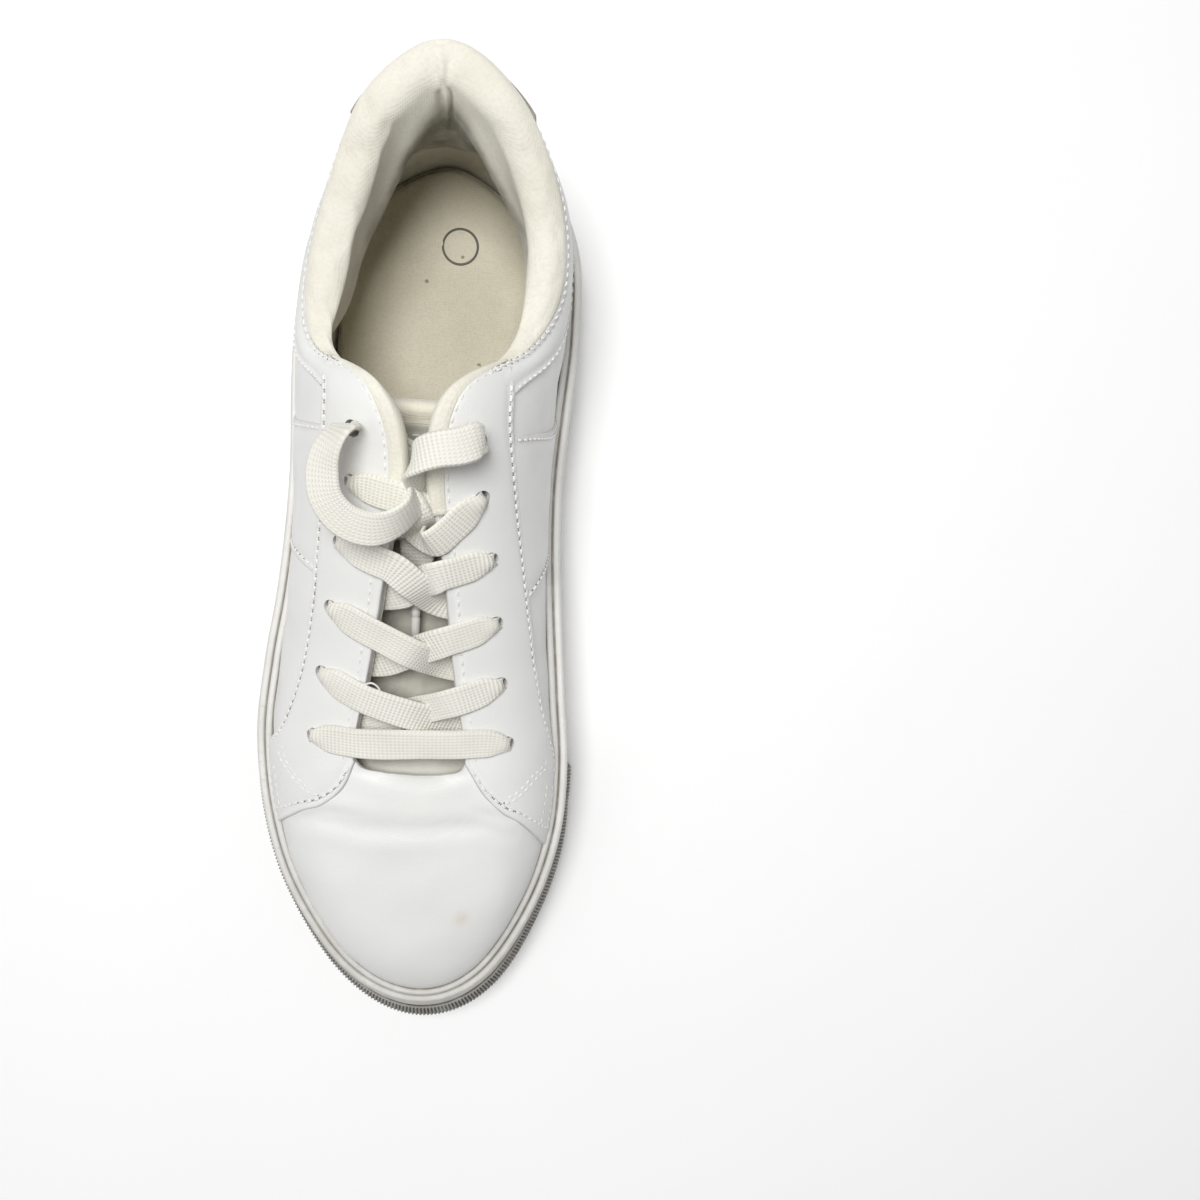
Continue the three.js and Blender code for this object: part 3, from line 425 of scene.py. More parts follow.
def textile(name, base, shade, pitch=0.7, depth=0.12, sheen=0.25, specks=None, dirt=None):
    """Woven cloth: crossed threads in every direction of the surface, soft colour changes, specks."""
    n = Nodes(name)
    turned = n.add("Mapping", {"Vector": n.place, "Rotation": (0.0, 0.0, 0.06)}).outputs["Vector"]
    threads = []
    for axis in ("X", "Y", "Z"):
        wave = n.add("TexWave", {"Vector": turned, "Scale": 314.16 / pitch, "Distortion": 1.2,
                                 "Detail": 2.0, "Detail Scale": 2.0},
                     wave_type="BANDS", bands_direction=axis, wave_profile="SIN")
        threads.append(wave.outputs["Fac"])
    weave = n.plus(n.times(threads[0], threads[1]), threads[2])
    colour = n.mix(n.step(n.noise(26, 4), 0.3, 0.75), base, shade)
    mottle = n.times(n.step(n.noise(0.9, 2), 0.4, 0.75), 0.28)
    colour = n.mix(mottle, colour, darker(shade, 0.8))
    if specks:
        spots = n.step(n.cells(specks), 0.06, 0.1, 1.0, 0.0)
        spots = n.times(spots, n.step(n.noise(7, 2), 0.5, 0.56))
        colour = n.mix(n.times(spots, 0.75), colour, (0.16, 0.14, 0.1))
    # Darker where the attribute says so: painted shade on the collar lining's inner heel wall, and on the
    # footbed a darkening along its edge and towards the heel.
    if dirt:
        dirt_and_shade_mix = n.times(n.attribute("dirt"), n.step(n.noise(7, 4), 0.2, 0.65, 0.45, 1.0))
        colour = n.mix(dirt_and_shade_mix, colour, dirt)
    bump = n.bump(n.plus(weave, n.noise(0.8, 2)), depth, 0.5)
    return n.done(colour, n.step(n.noise(5, 2), 0.3, 0.7, 0.82, 0.95), bump, Sheen_Weight=sheen,
                  Sheen_Roughness=0.5, Specular_IOR_Level=0.2)


def rubber(name, base, soiled, dirt=(0.2, 0.17, 0.12), grain=0.5, depth=0.06, amount=1.0, rough=(0.5, 0.68)):
    """Moulded rubber: fine pores, cloudy soiling, and a darker colour where its attribute says so: dirt, and
    painted shade in the grooves of the sidewall and toe band.
    """
    n = Nodes(name)
    cloud = n.step(n.noise(22, 5, 0.6), 0.35, 0.72)
    colour = n.mix(n.times(cloud, 0.8 * amount), base, soiled)
    grit = n.times(n.step(n.noise(1.6, 3), 0.55, 0.75), n.step(n.noise(17, 3), 0.4, 0.7))
    colour = n.mix(n.times(grit, 0.55 * amount), colour, darker(soiled, 0.62))
    dirt_and_shade_mix = n.times(n.attribute("dirt"), n.step(n.noise(4, 4), 0.2, 0.6, 0.5, 1.0))
    colour = n.mix(dirt_and_shade_mix, colour, dirt)
    black = n.times(n.attribute("scuff"), n.step(n.noise(2.6, 4, 0.65), 0.47, 0.53))
    colour = n.mix(black, colour, (0.025, 0.022, 0.02))
    bump = n.bump(n.noise(grain, 3), depth, 0.5, onto=n.bump(n.noise(11, 3), 0.3, 0.2))
    return n.done(colour, n.step(n.noise(6, 3), 0.3, 0.7, *rough), bump, Specular_IOR_Level=0.35)


def knitted(name, base, shade):
    """Flat knitted lace: ribs along it and small stitches across, from its own two lengths in mm."""
    n = Nodes(name)
    along, across = n.attribute("along"), n.attribute("across")
    column = n.times(across, 6.2832 / RIB_PITCH)
    rib = n.math("COSINE", column)
    slant = n.times(n.math("ABSOLUTE", n.math("SINE", n.times(column, 0.5))), 1.6)
    stitch = n.math("SINE", n.plus(n.times(along, 6.2832 / STITCH_PITCH), slant))
    height = n.plus(n.times(rib, 0.6), n.times(stitch, 0.5))
    hole = n.times(n.step(rib, -0.5, -0.95), n.step(stitch, -0.1, -0.85))
    colour = n.mix(n.step(n.noise(16, 3), 0.3, 0.75), base, shade)
    # Painted shade: the low parts of the knit and the gaps between its stitches are darkened.
    colour = n.mix(n.times(n.step(height, 0.1, -0.9), 0.22), colour, darker(shade, 0.66))
    colour = n.mix(n.times(hole, 0.2), colour, (0.42, 0.39, 0.33))
    fuzz = n.times(n.noise(0.5, 2), 0.5)
    bump = n.bump(n.plus(height, fuzz), 0.2, 0.6)
    return n.done(colour, n.step(n.noise(3, 2), 0.3, 0.7, 0.8, 0.94), bump, Sheen_Weight=0.25,
                  Sheen_Roughness=0.5, Specular_IOR_Level=0.2)


def thread_look(name, base):
    n = Nodes(name)
    twist = n.add("TexWave", {"Vector": n.place, "Scale": 320.0, "Distortion": 3.0},
                  wave_type="BANDS", bands_direction="DIAGONAL").outputs["Fac"]
    colour = n.mix(n.times(twist, 0.3), base, darker(base, 0.75))
    rough = n.step(n.noise(2, 2), 0.3, 0.7, 0.6, 0.8)
    return n.done(colour, rough, n.bump(twist, 0.06, 0.5), Sheen_Weight=0.1)


WHITE = leather("white_leather", (0.80, 0.80, 0.785), (0.70, 0.69, 0.655))
# A grey copy of the white leather for the tongue's face: painted shade, as the tongue lies in the throat's
# shadow.
TONGUE_SHADED_LEATHER = leather("tongue_leather_painted_shade", (0.60, 0.58, 0.51), (0.50, 0.48, 0.41))
BEIGE = leather("beige_leather", (0.46, 0.43, 0.36), (0.36, 0.33, 0.27), grain=1.1, depth=0.09)
# Its darker colour (0.20, 0.18, 0.12) is painted shade for the inner heel wall.
LINING = textile("cream_lining", (0.83, 0.805, 0.715), (0.77, 0.74, 0.635), pitch=0.55, depth=0.05, sheen=0.3,
                 dirt=(0.20, 0.18, 0.12))
TONGUE = textile("tongue_cloth", (0.86, 0.82, 0.71), (0.79, 0.745, 0.625), pitch=0.6, depth=0.07, sheen=0.3)
LINEN = textile("linen", (0.66, 0.62, 0.50), (0.58, 0.54, 0.42), pitch=0.8, depth=0.14, sheen=0.1,
                specks=8.5, dirt=(0.055, 0.045, 0.03))
WELT = rubber("welt_rubber", (0.79, 0.785, 0.76), (0.66, 0.65, 0.60), dirt=(0.33, 0.31, 0.27), amount=0.8)
# The ribbed band's near-black colour is painted shadow between its ribs.
BAND = rubber("ribbed_rubber", (0.50, 0.48, 0.44), (0.34, 0.32, 0.28), dirt=(0.05, 0.047, 0.042), depth=0.1)
TREAD = rubber("tread_rubber", (0.80, 0.735, 0.60), (0.66, 0.59, 0.45), dirt=(0.36, 0.31, 0.225), amount=0.9)
LACE = knitted("lace_knit", (0.86, 0.845, 0.775), (0.80, 0.78, 0.70))
THREAD = thread_look("white_thread", (0.84, 0.83, 0.80))
# Dark colour of the small discs that paint shade into the needle holes.
HOLE_SHADE = rubber("needle_hole_shade", (0.22, 0.20, 0.17), (0.15, 0.14, 0.12), dirt=(0.1, 0.1, 0.1))
BOARD = textile("board", (0.62, 0.57, 0.46), (0.52, 0.47, 0.37), pitch=0.9, depth=0.06)
FOAM = rubber("foam_pores", (0.74, 0.71, 0.62), (0.62, 0.58, 0.48), grain=0.9, depth=0.25, rough=(0.85, 0.95))
PLASTIC = rubber("lace_tip", (0.74, 0.73, 0.70), (0.6, 0.58, 0.53), grain=1.5, depth=0.03, rough=(0.25, 0.4))

# ---- Camera, lights and floor ------------------------------------------------------------------
camera = bpy.data.objects.new("camera", bpy.data.cameras.new("camera"))
SCENE.collection.objects.link(camera)
SCENE.camera = camera
look = Vector((0.05053, -0.07848, -0.99563)).normalized()
upright = Vector((-0.05499, 0.99518, -0.08124))
upright = (upright - look * upright.dot(look)).normalized()
side = look.cross(upright)
camera.matrix_world = Matrix((
    (side.x, upright.x, -look.x, 0.03968),
    (side.y, upright.y, -look.y, 0.02545),
    (side.z, upright.z, -look.z, 0.35337),
    (0, 0, 0, 1),
))
camera.data.sensor_width = 36
camera.data.lens = 31.5
camera.data.clip_start = 0.02

world = bpy.data.worlds.new("studio")
SCENE.world = world
world.use_nodes = True
world.node_tree.nodes["Background"].inputs["Color"].default_value = (1, 1, 1, 1)
world.node_tree.nodes["Background"].inputs["Strength"].default_value = 0.25
SCENE.view_settings.view_transform = "Standard"


def area_light(name, place, aim, size, power):
    data = bpy.data.lights.new(name, "AREA")
    data.shape = "DISK"
    data.size = size
    data.energy = power
    lamp = bpy.data.objects.new(name, data)
    SCENE.collection.objects.link(lamp)
    lamp.location = place
    lamp.rotation_mode = "QUATERNION"
    lamp.rotation_quaternion = (Vector(aim) - Vector(place)).to_track_quat("-Z", "Y")


area_light("top", (-0.1, 0.26, 1.2), (0, 0, 0.03), 0.6, 12.8)
area_light("key", (-0.8, -0.2, 1.2), (0, 0, 0.03), 0.6, 0.8)

floor_look = Nodes("floor")
pale = floor_look.mix(floor_look.noise(60, 3), (0.985, 0.985, 0.985), (0.96, 0.96, 0.96))
floor_look.done(pale, floor_look.step(floor_look.noise(30), 0.3, 0.7, 0.75, 0.85))
floor_mesh = bpy.data.meshes.new("floor")
FLOOR_REACH = 3.0
corners = [(x * FLOOR_REACH, y * FLOOR_REACH, 0) for x, y in ((-1, -1), (1, -1), (1, 1), (-1, 1))]
floor_mesh.from_pydata(corners, [], [(0, 1, 2, 3)])
floor = bpy.data.objects.new("floor", floor_mesh)
floor.location.z = -0.0004
floor.data.materials.append(floor_look.material)
SCENE.collection.objects.link(floor)
floor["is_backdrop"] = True

# ---- Stitches ----------------------------------------------------------------------------------
hole_shade_made = []


def stitches(name, points, normals, pitch=2.7, radius=0.33, lift=0.16, slant=0.0, body="shoe", length=0.72,
             holes=True):
    """A row of thread stitches along a line on a surface, each end sunk in its needle hole, where a dark disc
    paints the hole's shade.
    """
    points = np.asarray(points, float)
    normals = np.asarray(normals, float)
    travelled = travel(points)
    count = max(int(travelled[-1] / pitch), 1)
    stops = np.array([0.0, 0.12, 0.5, 0.88, 1.0])
    where = (np.arange(count)[:, None] + (1 - length) / 2 + length * stops) * travelled[-1] / count
    read = lambda rows: np.stack([np.interp(where, travelled, rows[:, a]) for a in range(3)], -1)
    centre, up = read(points), unit(read(normals))
    ahead = unit(np.gradient(centre, axis=1))
    across = unit(np.cross(ahead, up))
    centre = centre + across * (slant * (stops - 0.5))[None, :, None]
    rise = np.array([-0.34, 0.02, lift, 0.02, -0.34])
    fat = radius * np.array([0.55, 0.95, 1.0, 0.95, 0.55])
    centre = centre + up * rise[None, :, None]
    verts = centre[:, :, None] + circle(across, up, 6) * fat[None, :, None, None]
    one = grid_faces(5, 6, wrap_columns=True)
    faces = (one[None] + (np.arange(count) * 30)[:, None, None]).reshape(-1, 4)
    ends = [centre[:, 0] - up[:, 0] * rise[0], centre[:, -1] - up[:, -1] * rise[-1]]
    if holes:
        hole_shade_made.append((np.concatenate(ends), np.concatenate([up[:, 0], up[:, -1]]), body))
    return build(name, verts, faces, THREAD, body, "white_leather")


def seam_on(name, place, height, i, k, **more):
    """Stitches along shares (i, k) of a piece that place() lays on the upper, at a height off its face."""
    i, k = np.broadcast_arrays(np.asarray(i, float), np.asarray(k, float))
    s, v = place(i, k)
    return stitches(name, offset(s, v, height), normal(s, v), **more)


def seam_on_upper(name, line, height, **more):
    """Stitches along [station, share] points on the upper, at a height off its face."""
    p = along(line, np.linspace(0, 1, 160))
    return stitches(name, offset(p[:, 0], p[:, 1], height), normal(p[:, 0], p[:, 1]), **more)


# Small dark discs at the stitch ends: painted shade in the needle holes.
def needle_hole_shade():
    for body in sorted({b for _, _, b in hole_shade_made}):
        centre = np.concatenate([c for c, _, b in hole_shade_made if b == body])
        up = np.concatenate([u for _, u, b in hole_shade_made if b == body])
        side_way = unit(np.cross(up, [0.3, 0.2, 0.93]))
        other = np.cross(up, side_way)
        rims = centre[:, None] + circle(side_way, other, 6) * 0.36 + up[:, None] * -0.12
        tops = centre + up * 0.05
        verts = np.concatenate([rims, tops[:, None]], axis=1)
        one = np.array([[k, (k + 1) % 6, 6] for k in range(6)])
        faces = (one[None] + (np.arange(len(centre)) * 7)[:, None, None]).reshape(-1, 3)
        build("needle_hole_shade_" + body, verts, faces, HOLE_SHADE, body)


def along(points, t):
    """An open curve through given points, t from 0 to 1."""
    p = np.asarray(points, float)
    last = len(p) - 1
    x = np.clip(t, 0, 1) * last
    i = np.minimum(x.astype(int), last - 1)
    rows = [p[np.clip(i + k, 0, last)] for k in (-1, 0, 1, 2)]
    return catmull(*rows, (x - i)[..., None])


# ---- Leather panels ----------------------------------------------------------------------------
SIDES = {"lateral": lambda s: s, "medial": lambda s: COUNT - s}
EYELETS = [(8.9, 0.775), (8.13, 0.775), (7.42, 0.785), (6.74, 0.795), (6.16, 0.815), (5.52, 0.84)]
EYELET_RADIUS = 2.3


def edge_distance(p, edges):
    """Distance in mm of each grid point to the nearest of the edges (i=0, i=1, k=0, k=1) that count."""
    steps_i, steps_k = (np.linalg.norm(np.diff(p, axis=a), axis=-1) for a in (0, 1))
    di = np.concatenate([np.zeros((1, p.shape[1])), np.cumsum(steps_i, 0)])
    dk = np.concatenate([np.zeros((p.shape[0], 1)), np.cumsum(steps_k, 1)], 1)
    each = [di, di[-1:] - di, dk, dk[:, -1:] - dk]
    used = [d for d, on in zip(each, edges) if on]
    return np.min(used, axis=0) if used else np.full(di.shape, 50.0)


def panel(name, place, size, material, slot, node=None, base=0.0, thick=OVERLAY, puff=0.0, sewn=2.3,
          edges=(1, 1, 1, 1), shape=None, below=0.1, pitch=(1.7, 1.5), holes=None, stain=None):
    """A leather piece on the upper: rounded cut edges, pulled down along its seam and full in its middle."""
    i, k = np.meshgrid(graded(size[0], pitch[0]), graded(size[1], pitch[1]), indexing="ij")
    s, v = place(i, k)
    flat = surface(s, v)
    e = edge_distance(flat, edges)
    height = thick * (0.25 + 0.75 * edge_round(e, 0.7))
    height -= 0.26 * hump(e - sewn, 0.75)
    height += 0.16 * smooth(e, 3, 5) + puff * smooth(e, 1.5, 13) + 0.06 * noise(flat, 17, 3)
    if shape is not None:
        height += shape(s, v, flat)
    n = normal(s, v)
    front = flat + n * (base + height)[..., None]
    back = flat + n * (base - below)
    edge = hump(e, 0.6)
    spot = np.zeros(e.shape) if stain is None else stain(flat)
    attributes = {"edge": np.concatenate([edge.ravel(), np.ones(e.size)]), "stain": np.tile(spot.ravel(), 2)}
    obj = slab(name, front, back, material, None, slot, attributes, sharp=50)
    if holes:
        punch(obj, holes)
    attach(obj, "shoe")
    if node:
        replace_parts(obj, node)
    return obj


def punch(obj, side_of):
    """Cuts the lace holes of one side through a piece."""
    rings = []
    for s, v in EYELETS:
        at, up = surface(side_of(s), v), normal(side_of(s), v)
        a = unit(np.cross(up, [0, 0.3, 1.0]))
        ring = circle(a, np.cross(up, a), 20) * EYELET_RADIUS
        rings.append((at + ring - up * 6, at + ring + up * 6))
    verts = np.concatenate([np.concatenate(r) for r in rings]) * MM
    faces = []
    for h in range(len(EYELETS)):
        o = h * 40
        faces += [[o + k, o + (k + 1) % 20, o + 20 + (k + 1) % 20, o + 20 + k] for k in range(20)]
        faces += [list(range(o + 19, o - 1, -1)), list(range(o + 20, o + 40))]
    mesh = bpy.data.meshes.new("cutter")
    mesh.from_pydata(verts.tolist(), [], faces)
    cutter = bpy.data.objects.new("cutter", mesh)
    SCENE.collection.objects.link(cutter)
    cut = obj.modifiers.new("holes", "BOOLEAN")
    cut.object = cutter
    cut.operation = "DIFFERENCE"
    cut.solver = "EXACT"
    freeze(obj)
    bpy.data.objects.remove(cutter)


def freeze(obj):
    """Applies every modifier of an object to its mesh."""
    bpy.context.view_layer.update()
    done = bpy.data.meshes.new_from_object(obj.evaluated_get(bpy.context.evaluated_depsgraph_get()))
    obj.modifiers.clear()
    obj.data = done


def between(low, high, top=1.0, foot=0.0):
    return lambda i, k: (lerp(low, high, i), lerp(foot, top, k))


# Vamp, with the soft flex creases across its widest part and a small brown stain.
CREASES = [
    ([[10.3, 0.5], [10.94, 0.7], [11.82, 0.81], [13.18, 0.875], [14.32, 0.81], [15.42, 0.6]], 0.7, 3.6),
    ([[10.55, 0.6], [10.95, 0.755], [11.8, 0.845], [12.9, 0.895]], 0.45, 2.8),
    ([[14.3, 0.87], [14.9, 0.79], [15.5, 0.66]], 0.4, 2.8),
]


def creases(s, v, flat):
    change = np.zeros(s.shape)
    for line, depth, wide in CREASES:
        t = np.linspace(0, 1, 240)
        p = along(line, t)
        path = surface(p[:, 0], p[:, 1])
        d = np.full(s.shape, 1e9)
        share = np.zeros(s.shape)
        for point, at in zip(path, t):
            near = np.linalg.norm(flat - point, axis=-1)
            share = np.where(near < d, at, share)
            d = np.minimum(d, near)
        fade = np.sin(np.pi * np.clip(share, 0, 1)) ** 0.6
        change -= depth * fade * hump(d, wide * 0.5)
        change += 0.5 * depth * fade * hump(d - wide * 1.3, wide * 0.8)
    turned_down = 0.9 * smooth(v, 0.945, 1.0) * plateau(s, 10.0, 11.2, 14.8, 16.0)
    return change - turned_down + 0.28 * noise(flat, 34, 8) * smooth(v, 0.1, 0.5)


def brown_spot(flat):
    centre = surface(13.64, 0.59)
    return 0.45 * hump(np.linalg.norm(flat - centre, axis=-1), 1.8)


panel("vamp_leather", between(9.5, COUNT - 9.5), (190, 75), WHITE, "white_leather", "vamp", base=-0.25,
      thick=0.35, sewn=-9, edges=(0, 0, 0, 1), shape=creases, below=1.0, pitch=(1.5, 1.3), stain=brown_spot)

FACING_EDGE = {
    "lateral": [[4.35, 0.93], [4.75, 0.785], [5.4, 0.685], [6.2, 0.64], [7.1, 0.655], [7.9, 0.635],
                [8.5, 0.57], [8.9, 0.44], [9.1, 0.2]],
    "medial": [[4.35, 0.93], [4.75, 0.765], [5.4, 0.665], [6.2, 0.605], [7.1, 0.55], [7.8, 0.485],
               [8.4, 0.4], [8.75, 0.27], [9.0, 0.12]],
}
WING_EDGE = [[9.74, 1.0], [10.4, 0.915], [10.8, 0.82], [10.78, 0.7], [10.5, 0.56], [10.26, 0.34],
             [10.1, 0.08]]
BEND = 0.84
BAND_REAR, BAND_FRONT = 4.05, 6.1
BAND_TOP = {
    "lateral": [[5.3, 0.70], [6.2, 0.68], [7.05, 0.68]],
    "medial": [[5.2, 0.68], [6.2, 0.63], [7.05, 0.57]],
}
COLLAR_SEAM = 0.66
HEEL_TAB = 1.25


def facing(name, side_of):
    def place(i, k):
        tip = np.clip((i - BEND) / (1 - BEND), 0, 1)
        edge = along(FACING_EDGE[name], i / BEND)
        s_out = np.where(tip > 0, lerp(FACING_EDGE[name][-1][0], WING_EDGE[-1][0], tip), edge[..., 0])
        v_out = np.maximum(np.where(tip > 0, 0, edge[..., 1]), over_foxing(side_of(s_out)))
        s_in = lerp(4.5, WING_EDGE[0][0], i)
        straight = np.stack([lerp(s_in, s_out, k), lerp(1.0, v_out, k)], -1)
        first, last = np.array(WING_EDGE[0]), np.array(WING_EDGE[-1])
        bow = along(WING_EDGE, k) - lerp(first, last, k[..., None])
        whole = straight + bow * smooth(i, 0.55, 1.0)[..., None]
        return side_of(whole[..., 0]), np.clip(whole[..., 1], 0, 1)
    return place


def quarter_wrinkles(_, v, flat):
    return 0.3 * noise(flat, 30, 5) * smooth(v, 0.05, 0.3)


for name, side_of in SIDES.items():
    quarter = lambda low, high: (lambda i, k: (side_of(lerp(low, high, i)), k))
    for end, low, high, reach, holes in (("front", 4.4, 9.6, 120, side_of), ("rear", 0.0, 4.5, 110, None)):
        panel(f"quarter_{end}_leather_{name}", quarter(low, high), (reach, 75), WHITE, "white_leather",
              f"quarter_{end}_{name}", base=-0.1, thick=0.1, sewn=-9, edges=(0, 0, 0, 0),
              shape=quarter_wrinkles, below=1.1, holes=holes)
    place = facing(name, side_of)
    panel(f"facing_leather_{name}", place, (125, 34), WHITE, "white_leather", f"eyestay_{name}",
          holes=side_of, pitch=(1.5, 1.2))

    def band(i, k):
        top = along(BAND_TOP[name], i)
        low_s = lerp(BAND_REAR, BAND_FRONT, i)
        low_v = over_foxing(side_of(low_s))
        return side_of(lerp(low_s, top[..., 0], k)), lerp(low_v, top[..., 1], k)

    panel(f"side_band_leather_{name}", band, (40, 45), WHITE, "white_leather", f"side_band_{name}",
          thick=THIN, edges=(1, 1, 0, 0))

    def collar(i, k):
        s = lerp(0.0, 4.75, i)
        seam = COLLAR_SEAM + 0.11 * smooth(s, 3.2, 4.4)
        return side_of(s), lerp(seam, 0.985, k)

    panel(f"collar_leather_{name}", collar, (105, 26), WHITE, "white_leather", f"collar_panel_{name}",
          thick=THIN, puff=0.7, edges=(0, 0, 1, 1))

    # Seams: outer edge and throat edge of the facing, wing, band and collar panel.
    t = np.linspace(0, 1, 200)
    seam_on(f"stitches_facing_outer_{name}", place, OVERLAY - SUNK, lerp(0.07, 0.845, t), 0.925)
    throat = [[4.45, 0.945], [5.4, 0.95], [6.3, 0.945], [7.5, 0.955], [8.6, 0.955], [9.55, 0.95]]
    seam_on_upper(f"stitches_facing_throat_{name}", [[side_of(a), b] for a, b in throat], OVERLAY - 0.1,
                  pitch=3.0)
    seam_on(f"stitches_wing_front_{name}", place, OVERLAY - SUNK, 0.965, lerp(0.1, 0.93, t))
    seam_on(f"stitches_wing_low_a_{name}", place, OVERLAY - SUNK, lerp(0.86, 0.965, t), 0.83, pitch=2.3)
    seam_on(f"stitches_wing_low_b_{name}", place, OVERLAY - SUNK, lerp(0.865, 0.97, t), 0.91, pitch=2.3)
    for row, shift in (("a", 0.0), ("b", 0.028)):
        seam_on(f"stitches_wing_seam_{row}_{name}", place, OVERLAY - SUNK, lerp(0.775, 0.925, t) + shift,
                lerp(0.80, 0.48, t), pitch=2.2)

    for row, i in (("rear", 0.055), ("front", 0.945)):
        seam_on(f"stitches_band_{row}_{name}", band, THIN - SUNK, i, lerp(0.04, 0.98, t))

    seam_on(f"stitches_collar_low_{name}", collar, THIN - SUNK, lerp(0.25, 0.97, t), 0.08)
    seam_on(f"stitches_collar_top_{name}", collar, THIN - SUNK, lerp(0.24, 1.0, t), 0.915, pitch=2.4,
            slant=0.7)


def heel_tab_place(i, k):
    s = lerp(-HEEL_TAB, HEEL_TAB, i)
    return s, lerp(over_foxing(s), 0.985, k)


panel("heel_tab_leather", heel_tab_place, (62, 62), BEIGE, "beige_leather", "heel_tab", base=1.0, thick=1.15,
      puff=0.3, edges=(1, 1, 0, 1), below=1.1)
t = np.linspace(0, 1, 200)
for row, i in (("lateral", 0.045), ("medial", 0.955)):
    seam_on(f"stitches_heel_tab_{row}", heel_tab_place, 2.1, i, lerp(0.03, 0.96, t))

# ---- Rubber sole -------------------------------------------------------------------------------
def bead(q, low, high, rise):
    """A rounded ridge between two shares."""
    return rise * np.sqrt(np.clip(1 - ((2 * q - low - high) / (high - low)) ** 2, 0, 1))


def outsole_edge(s):
    return around(s)[..., 2] - RIM_WIDTH


ring = np.linspace(0, COUNT, 560, endpoint=False)
top_share = share_at(ring, foxing_top(ring))
# Each row's share of the darker colour: dirt at the foot and underneath, painted shade in the grooves between
# the beads (0.95), and darker where the rubber meets the leather.
rows, dirt_and_shade_rows = [], []
for q in (0, 0.02, 0.05, 0.08, 0.11, 0.13, 0.15, 0.17, 0.2, 0.3, 0.42, 0.54, 0.66, 0.78, 0.81, 0.83, 0.85,
          0.87, 0.9, 0.94, 0.97, 1.0):
    push = bead(q, -0.02, 0.13, 0.8) - 0.75 * hump(q - 0.15, 0.022)
    push += bead(q, 0.84, 1.1, 0.6) - 0.75 * hump(q - 0.83, 0.02)
    rows.append(wall_face(ring, q) + outwards(ring) * push)
    dirt_and_shade_rows.append(0.55 if q < 0.03 else 0.95 if q in (0.15, 0.83) else 0.12)
outer_top = wall_face(ring, 1.0)
skin_top = surface(ring, top_share)
for q in np.linspace(0.04, 1.0, 24):
    rise = bead(q, -0.2, 0.42, 0.9) + bead(q, 0.46, 1.03, 2.0) - 1.3 * hump(q - 0.44, 0.05)
    point = lerp(outer_top, skin_top, q)
    point[:, 2] += rise
    rows.append(point)
    dirt_and_shade_rows.append(0.95 if abs(q - 0.45) < 0.05 else 0.7 if q > 0.95 else 0.08)
for v in (0.06, 0.0):
    rows.append(offset(ring, v, 0.35))
    dirt_and_shade_rows.append(0.3)
plan = outline(ring, outsole_edge(ring) + GAP * 0.3)
spring = spring_at(plan[:, 1])
for level in (OUTSOLE_THICK, FOXING_FOOT + 0.5):
    rows.append(plan + np.stack([0 * spring, 0 * spring, spring + level], -1))
    dirt_and_shade_rows.append(1.0)
for q in (0.06, 0.2, 0.4, 0.6, 0.8, 0.92):
    under = outline(ring, lerp(outsole_edge(ring) + GAP, sole_flare(ring), q))
    under[:, 2] = FOXING_FOOT + spring_at(under[:, 1]) - 0.15 * np.sin(np.pi * q) + (0.25 if q < 0.1 else 0)
    rows.append(under)
    dirt_and_shade_rows.append(0.95 if q < 0.1 else 0.5)
section = np.stack(rows, 1)
faces = grid_faces(len(ring), len(rows), wrap_rows=True, wrap_columns=True)
dirt = np.tile(np.array(dirt_and_shade_rows), len(ring))
y_ring, x_ring = np.repeat(plan[:, 1], len(rows)), np.repeat(plan[:, 0], len(rows))
dirt = np.clip(dirt + 0.3 * smooth(-y_ring, 50, 112), 0, 1)
low = 1 - smooth(section.reshape(-1, 3)[:, 2], FOXING_FOOT + 2, FOXING_FOOT + 9)
scuff = np.where(x_ring > 0, 0.4 * low * plateau(y_ring, -30, 0, 50, 75), 0)
sidewall = build("sidewall", section, facing_out(section.reshape(-1, 3), faces), WELT, "shoe",
                 "sidewall_rubber", {"dirt": dirt, "scuff": scuff})
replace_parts(sidewall, "foxing")

s = np.linspace(BUMPER[0], BUMPER[1], 1300)
q = np.array([0.15, 0.16, 0.18, 0.21, 0.3, 0.4, 0.5, 0.58, 0.63, 0.68, 0.72, 0.75, 0.775, 0.79, 0.8])
arc = travel(wall_face(s, 0.5))
rib = 0.5 + 0.5 * np.cos(2 * np.pi * arc / 1.15)
ends = smooth(arc, 0, 2.5) * smooth(arc[-1] - arc, 0, 2.5)
groove = (1 - rib)[:, None] * plateau(q, 0.175, 0.21, 0.785, 0.8)
rounded = np.sqrt(np.clip(np.minimum((q - 0.15) / 0.04, (0.8 - q) / 0.2), 0, 1))
stand = GAP + BUMPER_THICK * ends[:, None] * (0.25 + 0.75 * rounded) - 0.6 * groove
base = np.stack([wall_face(s, x) for x in q], 1)
push = outwards(s)[:, None]
# Painted shadow between the ribs: the grooves take the near-black colour, over a light soiling all over.
dirt = np.concatenate([(0.95 * groove + 0.25).ravel(), np.ones(groove.size)])
toe_band = slab("toe_band", base + push * stand[..., None], base + push * 0.0, BAND, "shoe", "bumper_rubber",
                {"dirt": dirt, "scuff": dirt * 0})
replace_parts(toe_band, "toe_bumper")

